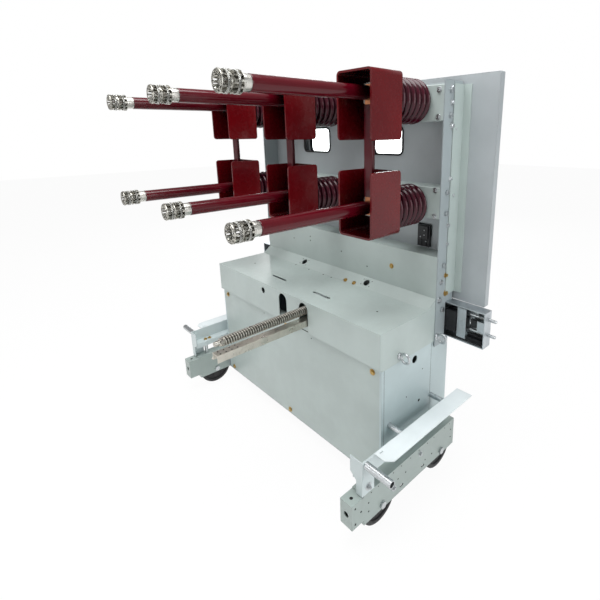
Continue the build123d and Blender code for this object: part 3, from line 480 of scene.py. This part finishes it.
warm_zinc = plated("guide_zinc", (214, 209, 198), (184, 178, 164), 0.4, 0.24, 0.04, 60.0)
yellow_zinc = plated("yellow_zinc_plate", (190, 160, 100), (120, 92, 50), 0.4, 0.26, 0.08, 260.0)
screw_steel = plated("turned_screw_steel", (186, 184, 176), (130, 126, 118), 0.4, 0.24, 0.04, 110.0)
# Painted shade: a dark copy of the screw steel for the bottom of the thread's groove.
thread_groove_shade = plated("thread_groove_painted_shade", (84, 82, 76), (40, 38, 34), 0.5, 0.3, 0.06, 140.0)
nylon = moulded("black_nylon", (24, 24, 26), (80, 79, 76), 0.42, 0.3)
plastic = moulded("black_plastic_case", (20, 22, 26), (60, 62, 66), 0.38, 0.15)
rubber = moulded("black_rubber", (20, 20, 21), (60, 60, 60), 0.55, 0.2)
# Painted shade: holes are dark discs standing for the shade inside them; the folded seams take the same dark
# colour.
hole_shade_and_seam_dark = moulded("painted_hole_shade_and_dark_seams", (12, 13, 14), (26, 27, 28), 0.7, 0.3)
glass = clear_pane("clear_toughened_pane")

# ---- Finishes and soft edges of the CAD nodes -------------------------------

slot_paints = {
    "sheet_paint": sheet_paint,
    "wing_paint": wing_paint,
    "red_resin": red_hood,
    "maroon_resin": maroon_cast,
    "silvered_copper": silver,
    "spring_steel": spring_wire,
    "copper": bare_copper,
    "zinc": zinc,
    "yellow_zinc": yellow_zinc,
    "screw_steel": screw_steel,
    "wheel_black": nylon,
    "black_plastic": plastic,
    "gasket": rubber,
    "pane": glass,
}
node_paints = {
    "panel_backing": shaded_inner_paint,
    "backplate": shaded_inner_paint,
    "operator_panel": shaded_inner_paint,
    "floor_plate": shaded_inner_paint,
    "interlock_beam": galvanised,
    "link_sleeves": red_sleeve,
    "screw_guide": warm_zinc,
    "contact_bases": silver_bright,
}
edge_widths = {"link_bars": 0.8, "link_sleeves": 0.8, "lock_boxes": 0.8, "frame_bolts": 0.7}
for side in ("left", "right"):
    node_paints[f"{side}_side_panel"] = lit_side_paint
    node_paints[f"{side}_upright"] = upright_paint
    node_paints[f"{side}_base_rail"] = rail_paint
    node_paints[f"{side}_rail_nose"] = rail_paint
    node_paints[f"{side}_ramp_plate"] = lit_ramp_paint
for phase in phases:
    edge_widths[f"{phase}_hoods"] = 2.2
    edge_widths[f"{phase}_tulip_fingers"] = 0.4

for name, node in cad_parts.items():
    old = node.data.materials[0].name.split(".")[0] if node.data.materials else "sheet_paint"
    paint = node_paints.get(name, slot_paints.get(old, sheet_paint))
    for held in node.material_slots:
        held.material = paint
    if name in edge_widths:
        weld = node.modifiers.new("weld", "WELD")
        weld.merge_threshold = 0.00001
        soften(node, edge_widths[name], 2, 32)

# ---- Contact arms -----------------------------------------------------------


def arm_seat(x, z):
    """Seat at the tip of an arm, with Z toward the truck."""
    return seat((x, tip_y, z), REAR, ACROSS)


def around(where, radius, height):
    """Path of a garter spring round an arm."""

    def path(t):
        angle = TAU * t
        outward = Vector((math.cos(angle), math.sin(angle), 0))
        place = where @ (outward * radius + Vector((0, 0, height)))
        return place, where.to_3x3() @ outward, where.to_3x3() @ Vector(UP)

    return path


def sleeve_profile(x, z):
    """Outline of a shrunk sleeve, whose surface swells a little and differently on each arm."""
    mouth = 79.0
    outer = 20.86
    rings = 40
    profile = [(19.0, mouth), (20.2, mouth - 0.3), (20.9, mouth + 0.8)]
    for i in range(rings):
        height = mouth + 3.0 + (sleeve_end - mouth - 5.0) * i / (rings - 1)
        swell = 0.08 * math.sin(i * 1.7 + x * 0.01) + 0.06 * math.sin(i * 0.53 + z)
        profile.append((outer + swell, height))
    return profile + [(20.4, sleeve_end), (17.1, sleeve_end)]


garter_radius = 25.1
garter_coil = 1.3
garter_wire = 0.5
garter_turns = 130
garter_places = (16.6, 19.6, 42.6, 45.6)
cage_radii_and_places = ((19.4, 1.0), (24.3, 2.2))
cage_lip = [(-0.9, -0.7), (-0.3, -0.95), (0.6, -0.7), (0.9, 1.4), (-0.9, 1.4), (-0.9, -0.7)]
waist_ring = [(20.25, 25.6), (21.4, 25.6), (21.9, 26.2), (21.9, 28.8), (21.4, 29.4), (20.25, 29.4)]
keeper_ring = [(20.2, 53.2), (26.2, 53.2), (26.8, 53.9), (26.2, 55.0), (20.2, 55.0)]
base_profile = [(0, 38.2), (13.2, 38.2), (14.8, 40.0), (14.8, 55.1), (19.0, 55.1), (19.9, 56.2), (19.9, 60.4)]
base_profile += [(19.3, 61.0), (19.3, 62.0), (19.9, 62.6), (19.9, 76.0), (19.4, 78.9), (0, 78.9)]

springs = Shape()
cages = Shape()
bases = Shape()
sleeves = Shape()
for x in phases.values():
    for z in arm_heights:
        arm = arm_seat(x, z)
        for place in garter_places:
            path = around(arm, garter_radius, place)
            springs.spring(path, garter_coil, garter_wire, garter_turns, 4, 6, closed=True)
        for radius, height in cage_radii_and_places:
            cages.lathe(arm, [(radius + out, height + along) for out, along in cage_lip], 60)
        cages.lathe(arm, waist_ring + waist_ring[:1], 60)
        cages.lathe(arm, keeper_ring + keeper_ring[:1], 60)
        bases.lathe(arm, base_profile, 72)
        sleeves.lathe(arm, sleeve_profile(x, z), 72)
springs.make("garter_spring_coils", TRUCK, spring_wire, replaces=["garter_springs"])
cages.make("contact_rings", TRUCK, silver, replaces=["contact_cages"])
bases.make("contact_base_collars", TRUCK, silver_bright, replaces=["contact_bases"])
sleeves.make("arm_sleeve_skins", TRUCK, red_sleeve, replaces=["arm_sleeves"], sharp=60)

collar_screw = [(0, 0), (3.4, 0), (3.4, 1.3), (3.0, 1.7), (1.6, 1.7), (1.4, 0.9), (0, 0.9)]
collar_screw_place = 69.0
collar_screw_radius = 18.6
collar_screws = Shape()
for x in phases.values():
    for z in arm_heights:
        for turn in (0.6, 0.6 + math.pi):
            out = Vector((math.cos(turn), 0, math.sin(turn)))
            place = Vector((x, tip_y + collar_screw_place, z)) + out * collar_screw_radius
            collar_screws.stud(place, out, collar_screw, 20)
collar_screws.make("contact_base_screws", TRUCK, screw_steel)

# ---- Post insulators --------------------------------------------------------

rib_count = 6
rib_steps = 17
rib_root = 53.0
rib_depth = 18.8
insulator_drop = 17.0
rib_pitch = insulator_length / rib_count
post_profile = [(0, 0.2), (50.0, 0.2), (51.6, 1.2)]
for rib in range(rib_count):
    for i in range(rib_steps):
        t = (i + 0.5) / rib_steps
        post_profile.append((rib_root + rib_depth * math.sin(math.pi * t) ** 0.62, (rib + t) * rib_pitch))
post_profile += [(52.0, insulator_length - 0.8), (0, insulator_length - 0.2)]
for phase, x in phases.items():
    posts = Shape()
    for z in arm_heights:
        posts.stud((x, mount_y - insulator_length, z - insulator_drop), REAR, post_profile, 96)
    name = f"{phase}_ribbed_insulators"
    posts.make(name, TRUCK, maroon_cast, replaces=[f"{phase}_insulators"], sharp=70)

# ---- Racking screw and the holes of its guide --------------------------------

thread_lead = 9.0
thread_steps = 40
thread_start = 20.0
thread_end = 438.0
thread_root = 12.3
tooth = [(thread_root, 0.0), (thread_root, 0.4), (12.9, 0.45), (15.4, 0.54), (15.9, 0.58)]
tooth += [(15.9, 0.86), (15.4, 0.9), (12.9, 0.97)]
pilot_profile = [(0, 0.1), (7.4, 0.1), (8.4, 1.1), (8.4, 17.5), (9.4, 18.8), (12.6, 19.2), (13.4, 20.4)]
pilot_profile += [(13.2, 30.0), (12.2, 32.0), (12.2, 60.0)]
socket_depth = 28.0
shank_profile = [
    (12.2, thread_end - 18.0),
    (15.7, thread_end - 2.0),
    (15.9, thread_end),
    (15.9, thread_end + 0.9),
    (11.9, thread_end + 0.9),
    (11.9, screw_length - 0.8),
    (11.2, screw_length - 0.1),
    (9.6, screw_length - 0.1),
    (8.6, screw_length - 1.0),
    (8.2, screw_length - socket_depth),
    (0, screw_length - socket_depth),
]


def wind_thread(screw, where):
    """Adds the trapezoidal thread, with its root in the second paint, which holds painted shade for the
    bottom of the groove.
    """
    crests = int((thread_end - thread_start) / thread_lead)
    rows = []
    for k in range(crests * thread_steps + 1):
        angle = TAU * k / thread_steps
        advance = thread_start + thread_lead * k / thread_steps
        row = [(r * math.cos(angle), r * math.sin(angle), advance + thread_lead * t) for r, t in tooth]
        rows.append(screw.ring(where, row))
    for k in range(len(rows) - 1):
        here, after = rows[k], rows[k + 1]
        for i in range(len(tooth) - 1):
            paint = 1 if tooth[i][0] == thread_root else 0
            screw.face((here[i + 1], here[i], after[i], after[i + 1]), paint)
        if k + thread_steps < len(rows) - 1:
            above, above_after = rows[k + thread_steps], rows[k + 1 + thread_steps]
            screw.face((above[0], here[-1], after[-1], above_after[0]), 1)


screw = Shape()
screw_axis = middle("racking_screw")
screw_seat = seat((screw_axis.x, screw_tip_y, screw_axis.z), REAR, ACROSS)
wind_thread(screw, screw_seat)
screw.lathe(screw_seat, pilot_profile, 48)
screw.lathe(screw_seat, shank_profile, 48)
screw.make(
    "racking_screw_thread", "racking_screw", screw_steel, thread_groove_shade,
    replaces=["racking_screw"], sharp=30,
)

guide_front_y = lowest("screw_guide").y
guide_top_z = highest("screw_guide").z
guide_holes = Shape()
# The guide's holes are discs painted dark for the shade inside them.
for along in (14.0, 34.0, 54.0, 74.0):
    for x in (screw_axis.x - 4.0, screw_axis.x + 14.0):
        place = (x, guide_front_y + along, guide_top_z + 0.06)
        guide_holes.stud(place, UP, [(0, 0), (2.4, 0), (2.8, 0.22), (0, 0.22)], 20)
guide_holes.make("guide_holes", TRUCK, hole_shade_and_seam_dark)

# ---- Wheels -----------------------------------------------------------------

boss_x = 8.6
boss_circle = 40.0
boss_profile = [(9.0, 0), (9.0, 1.3), (8.4, 1.8), (7.4, 1.8), (6.8, 1.2), (6.8, 0)]
wheel_half = [(10.1, -17.9), (21.0, -17.9), (21.9, -17.0), (21.9, -9.6), (24.0, -9.0), (56.0, -9.0)]
wheel_half += [(58.6, -9.8), (59.4, -13.0), (60.6, -13.9), (71.0, -13.9), (74.0, -12.4), (74.95, -9.0)]
wheel_profile = wheel_half + [(radius, -height) for radius, height in reversed(wheel_half)] + wheel_half[:1]
for end in ("front", "rear"):
    for side in ("left", "right"):
        name = f"{end}_{side}_wheel"
        centre = middle(name)
        wheel = Shape()
        wheel.lathe(seat(centre, ACROSS, REAR), wheel_profile, 96)
        for spoke in range(6):
            angle = TAU * spoke / 6
            for face in SIDES:
                out = Vector((face * boss_x, boss_circle * math.cos(angle), boss_circle * math.sin(angle)))
                wheel.stud(centre + out, (face, 0, 0), boss_profile, 28)
        wheel.make(f"{end}_{side}_nylon_wheel", name, nylon, replaces=[name], sharp=40)

# ---- Lifting eyes -----------------------------------------------------------

eye_radius = 16.0
eye_wire = 4.4
eye_centre = 24.2
eye_steps = 48
eye_foot = [(0, 0), (11.4, 0), (12.0, 0.6), (12.0, 3.4), (11.2, 4.4), (7.6, 5.0), (6.2, 6.2)]
eye_foot += [(5.6, 9.0), (0, 9.0)]
eyes = Shape()
for side in SIDES:
    for x, y, z in ((cover_x, 74.0, 507.0), (upright_x, 278.0, 502.0)):
        where = seat((side * x, y, z), (side, 0, 0), UP)
        eyes.lathe(where, eye_foot, 40)
        turn = [TAU * i / eye_steps for i in range(eye_steps)]
        ring = [(eye_radius * math.sin(a), 0, eye_centre - eye_radius * math.cos(a)) for a in turn]
        eyes.tube([where @ Vector(point) for point in ring], eye_wire, 14, closed=True)
eyes.make("forged_lifting_eyes", TRUCK, zinc, replaces=["lifting_eyes"], sharp=50)

# ---- Bolts and holes --------------------------------------------------------

upright_bolts = (
    (306, 1351, 11),
    (310, 1307, 11),
    (314, 1235, 13),
    (337, 1226, 8),
    (319, 1064, 11),
    (338, 1007, 11),
    (319, 906, 11),
    (320, 840, 9),
    (320, 725, 11),
    (293, 705, 11),
    (323, 657, 13),
    (286, 640, 13),
    (333, 478, 11),
)
yellow_heights = (725, 657)
bolts = Shape()
yellow_bolts = Shape()
holes = Shape()


def bolt_upright(side):
    """Bolts on the outer face of an upright, then the bolts of the beams' ends."""
    for y, z, across in upright_bolts:
        target = yellow_bolts if z in yellow_heights else bolts
        target.bolt((side * upright_x, y, z), (side, 0, 0), across, across * 0.5)
    for z in (1345.0, 1262.0, 1029.0, 941.0):
        bolts.bolt((side * 496.0, mount_y, z), FRONT, 10, 5)


def on_slope(x, y):
    """A place on the slope at the back of the cover."""
    return (x, y, cover_top_z + slope_rise * (y - slope_start_y) / slope_run)


def punch_cover():
    """Holes and yellow bolts on the cover's top and its slope."""
    slope_out = (0, -slope_rise, slope_run)
    for x in (-392.0, 392.0):
        holes.hole((x, 100.0, cover_top_z), UP, 3.2)
    for side in SIDES:
        for dx, dy in ((-22, -10), (22, -10), (-22, 10), (22, 10)):
            holes.hole(on_slope(side * 200.0 + dx, slope_start_y + slope_run / 2 + dy), slope_out, 1.7)
    for x in (-231.0, -134.0, -34.0, 18.0):
        holes.hole((x, 221.0, cover_top_z), UP, 3.0)
    for x in (94.0, 144.0):
        yellow_bolts.bolt(on_slope(x, slope_start_y + 5.0), slope_out, 10, 5)


def punch_front():
    """Holes and a bolt on the apron plate, and holes along the cabinet's front."""
    for x, z in ((-301, 726), (-176, 755), (-176, 736), (33, 726), (184, 693)):
        holes.hole((x, mount_y, z), FRONT, 2.6)
    yellow_bolts.bolt((312, mount_y, 724), FRONT, 11, 5)
    for x in (-472, -160, 160, 472):
        holes.hole((x, cabinet_front_y, 470.0), FRONT, 2.0)


def punch_side(side):
    """Holes of one side: side panel, base rail, nose and wing."""
    out = (side, 0, 0)
    for y, z, radius in ((193.0, 281.0, 5.0), (120.0, 330.0, 2.0), (210.0, 400.0, 2.0)):
        holes.hole((side * side_panel_x, y, z), out, radius)
    for y in (-128, -96, -60, -24, 16, 64, 112, 160, 200, 268, 300):
        holes.hole((side * rail_outer_x, y, 158.0), out, 1.7)
    for y, z in ((-140, 128), (-140, 96), (0, 118), (40, 118), (150, 96), (190, 96), (310, 128), (310, 96)):
        holes.hole((side * rail_outer_x, y, z), out, 2.4)
    for y, z in ((nose_front_y + 14, 148), (nose_front_y + 14, 92), (nose_front_y + 38, 120)):
        holes.hole((side * rail_outer_x, y, z), out, 3.0)
    holes.hole((side * rail_x, nose_front_y + 22, 163.0), UP, 5.0)
    for y in (-92, 40, 190):
        holes.hole((side * wing_outer_x, y, 262.0), out, 2.6)


def bolt_side(side):
    """Bolts of one side: wing floor, base rail and wing wall."""
    out = (side, 0, 0)
    for y in (-109, -88):
        yellow_bolts.bolt((side * wing_bolt_x, y, wing_floor_z), UP, 10, 5)
    for y in (70, 172):
        bolts.bolt((side * wing_bolt_x, y, wing_floor_z), UP, 10, 5)
    bolts.bolt((side * rail_outer_x, wing_front_y + 24, 190.0), out, 13, 6, tail=5)
    for y, z in ((-20.0, 96.0), (120.0, 140.0)):
        bolts.bolt((side * rail_outer_x, y, z), out, 11, 5)
    for y in (29.0, 263.0):
        bolts.bolt((side * wing_outer_x, y, 270.0), out, 13, 6)


for side in SIDES:
    bolt_upright(side)
punch_cover()
punch_front()
for side in SIDES:
    punch_side(side)
    bolt_side(side)
bolts.make("hexagon_bolts", TRUCK, zinc)
yellow_bolts.make("yellow_hexagon_bolts", TRUCK, yellow_zinc)
holes.make("punched_holes", TRUCK, hole_shade_and_seam_dark)

front_screws = Shape()
for x in (-472.0, 0.0, 472.0):
    for z in (80.0, 468.0):
        front_screws.bolt((x, cabinet_front_y, z), FRONT, 12, 4.6)
front_screws.make("panel_hexagon_screws", TRUCK, yellow_zinc, replaces=["panel_screws"])

panel_screw_x = 622.0
rear_places = [(x, panel_rear_y, z) for x in (-622.0, -311.0, 0.0, 311.0, 622.0) for z in (642.0, 1374.0)]
rear_places += [(side * panel_screw_x, panel_rear_y, z) for side in SIDES for z in (825.0, 1008.0, 1191.0)]
rear_places += [(x, cabinet_rear_y, z) for x in (-490.0, -245.0, 0.0, 245.0, 490.0) for z in (80.0, 470.0)]
rear_screws = Shape()
for place in rear_places:
    rear_screws.bolt(place, REAR, 10, 4.0)
rear_screws.make("rear_panel_screws", TRUCK, zinc)

# ---- Interlock beam ---------------------------------------------------------

spring_start_x = 635.0
spring_length = 34.0


def beside(side, z):
    """Path of a return spring along a lock rod."""

    def path(t):
        place = Vector((side * (spring_start_x + spring_length * t), lock_rod_y, z))
        return place, Vector(REAR), Vector(UP)

    return path


lock_springs = Shape()
for side in SIDES:
    for z in lock_rod_heights:
        lock_springs.spring(beside(side, z), 7.4, 0.9, 7, 6, 16)
lock_springs.make("lock_return_springs", TRUCK, spring_wire)

comb_start_x = 600.0
comb_pitch = 4.4
comb_tooth = 2.6
contact_x = 540.0
contact_z = 566.0
contact_profile = [(0, 0), (1.9, 0), (1.9, 0.7), (1.2, 1.2), (0, 1.3)]
combs = Shape()
contacts = Shape()
for side in SIDES:
    for i in range(14):
        x = comb_start_x + i * comb_pitch
        combs.side_block(side, (x, 340.0, 494.0), (x + comb_tooth, 352.0, 512.0))
    combs.side_block(side, (598.0, 352.0, 493.2), (665.0, 356.0, 520.0))
    combs.side_block(side, (612.0, 345.0, 552.0), (640.0, 356.0, 578.0))
    for dx, dz in ((-8, 12), (0, 12), (8, 12), (-4, 2), (6, -4)):
        contacts.stud((side * contact_x + dx, 330.9, contact_z + dz), FRONT, contact_profile, 16)
combs.make("lock_box_combs", TRUCK, plastic, bevel=0.3)
contacts.make("lock_box_contacts", TRUCK, zinc)

plates = Shape()
for side in SIDES:
    plates.side_block(side, (563.0, 336.0, 500.0), (598.0, 338.0, 612.0))
    plates.side_block(side, (640.0, 338.0, 541.0), (667.0, 340.0, 582.0))
plates.make("lock_guard_plates", TRUCK, galvanised, bevel=0.5)

# ---- Connector in the backplate's opening -----------------------------------

plug_face_y = 338.0
plug_front_y = 333.0
plug = Shape()
plug.block((378.0, plug_face_y, 806.0), (432.0, 347.5, 888.0))
plug.block((384.0, plug_front_y, 836.0), (426.0, plug_face_y, 884.0))
for x in (392.0, 412.0):
    plug.block((x, 335.0, 810.0), (x + 7.0, plug_face_y, 832.0))
plug.make("auxiliary_connector", TRUCK, plastic, bevel=1.2)
pads = Shape()
for x, z in ((411.0, 868.0), (411.0, 850.0), (395.0, 842.0), (420.0, 828.0)):
    pads.stud((x, plug_front_y, z), FRONT, [(0, 0), (2.0, 0), (2.0, 0.8), (1.2, 1.3), (0, 1.3)], 16)
pads.make("auxiliary_connector_contacts", TRUCK, zinc)

# ---- Folded seams -----------------------------------------------------------

seam_lift = 0.18
seams = Shape()
for side in SIDES:
    for y in (2.0, 259.0):
        seams.side_block(side, (side_panel_x, y, 66.0), (side_panel_x + seam_lift, y + 1.1, 485.0))
    seams.side_block(side, (upright_x, 318.5, 700.0), (upright_x + seam_lift, 319.3, 1372.0))
seams.block((-509.0, cabinet_front_y - seam_lift, 488.2), (509.0, cabinet_front_y, 491.6))
seams.make("panel_seams", TRUCK, hole_shade_and_seam_dark)

# ---- Floor ------------------------------------------------------------------

floor_reach = 14
floor_shade = (0.9, 0.9, 0.9, 1.0)
floor_glow = 0.95


def floor_material():
    """White that the camera, glossy and clear surfaces see, with the object's shadow kept."""
    finish = Finish("studio_white")
    path = finish.node("ShaderNodeLightPath")
    seen = finish.arithmetic("MAXIMUM", path.outputs["Is Camera Ray"], path.outputs["Is Glossy Ray"])
    seen = finish.arithmetic("MAXIMUM", seen, path.outputs["Is Transmission Ray"])
    part = finish.arithmetic("MULTIPLY", seen, floor_glow)
    cloud = finish.mix(finish.noise(0.8, 2.0), scaled(floor_shade, 0.99), floor_shade)
    finish.put(Base_Color=cloud, Roughness=0.9)
    glow = finish.node("ShaderNodeEmission", Strength=1.0, Color=(1, 1, 1, 1))
    blend = finish.node("ShaderNodeMixShader", Fac=part)
    finish.feed(blend.inputs[1], finish.shader.outputs[0])
    finish.feed(blend.inputs[2], glow.outputs[0])
    finish.feed(finish.output.inputs["Surface"], blend.outputs[0])
    return finish.material


floor_corners = [(x * floor_reach, y * floor_reach, 0) for x, y in ((-1, -1), (1, -1), (1, 1), (-1, 1))]
floor_mesh = bpy.data.meshes.new("studio_floor")
floor_mesh.from_pydata(floor_corners, [], [(0, 1, 2, 3)])
floor = bpy.data.objects.new("studio_floor", floor_mesh)
bpy.context.scene.collection.objects.link(floor)
floor.data.materials.append(floor_material())

# ---- Light ------------------------------------------------------------------

air_light = 0.38
air_seen = 1.0


def light_air():
    """An even white world that is brighter to the camera than it is as a light."""
    world = bpy.data.worlds.new("studio_air")
    bpy.context.scene.world = world
    world.use_nodes = True
    air = Graph(world.node_tree)
    path = air.node("ShaderNodeLightPath")
    seen = air.arithmetic("MAXIMUM", path.outputs["Is Camera Ray"], path.outputs["Is Transmission Ray"])
    strength = air.node("ShaderNodeMapRange", Value=seen, To_Min=air_light, To_Max=air_seen)
    background = world.node_tree.nodes["Background"]
    air.feed(background.inputs["Strength"], strength.outputs["Result"])
    air.feed(background.inputs["Color"], (1, 1, 1, 1))


def soft_box(name, place, target, size, power, tint=(1, 1, 1)):
    """A large rectangular studio lamp."""
    light = bpy.data.lights.new(name, "AREA")
    light.shape = "RECTANGLE"
    light.size, light.size_y = size
    light.energy = power
    light.color = tint
    holder = bpy.data.objects.new(name, light)
    bpy.context.scene.collection.objects.link(holder)
    holder.location = place
    direction = Vector(target) - Vector(place)
    holder.rotation_euler = direction.to_track_quat("-Z", "Y").to_euler()


light_air()
soft_box("top_soft_box", (0.2, -0.4, 3.4), (0, 0, 0.6), (2.4, 2.0), 100)
soft_box("right_soft_box", (3.6, 0.2, 1.7), (0, 0, 0.6), (1.8, 2.2), 38, (0.96, 0.99, 1.0))
soft_box("back_left_soft_box", (-2.9, 3.3, 1.7), (0, 0, 0.8), (2.6, 1.8), 84)
soft_box("front_soft_box", (-1.2, -3.6, 2.0), (0, 0, 0.7), (2.2, 1.8), 24)

# ---- Camera -----------------------------------------------------------------

eye_place = (1.27232, -0.87947, 1.21842)
eye_yaw = 0.801162
eye_pitch = 0.244585
eye_roll = -0.0115605


def place_camera():
    """A wide lens at chest height, turned to the left and a little down."""
    camera = bpy.data.cameras.new("studio_camera")
    camera.lens = 24.70
    camera.sensor_width = 36.0
    camera.shift_x = -0.0833
    camera.shift_y = -0.1083
    camera.clip_start = 0.05
    camera.clip_end = 60.0
    eye = bpy.data.objects.new("studio_camera", camera)
    bpy.context.scene.collection.objects.link(eye)
    turn_x, turn_y = -math.sin(eye_yaw), math.cos(eye_yaw)
    forward = Vector((turn_x * math.cos(eye_pitch), turn_y * math.cos(eye_pitch), -math.sin(eye_pitch)))
    level = Vector((turn_y, -turn_x, 0))
    upward = level.cross(forward)
    right = math.cos(eye_roll) * level + math.sin(eye_roll) * upward
    above = -math.sin(eye_roll) * level + math.cos(eye_roll) * upward
    pose = Matrix((right, above, -forward)).transposed().to_4x4()
    pose.translation = Vector(eye_place)
    eye.matrix_world = pose
    bpy.context.scene.camera = eye


place_camera()
bpy.context.scene.view_settings.view_transform = "Standard"
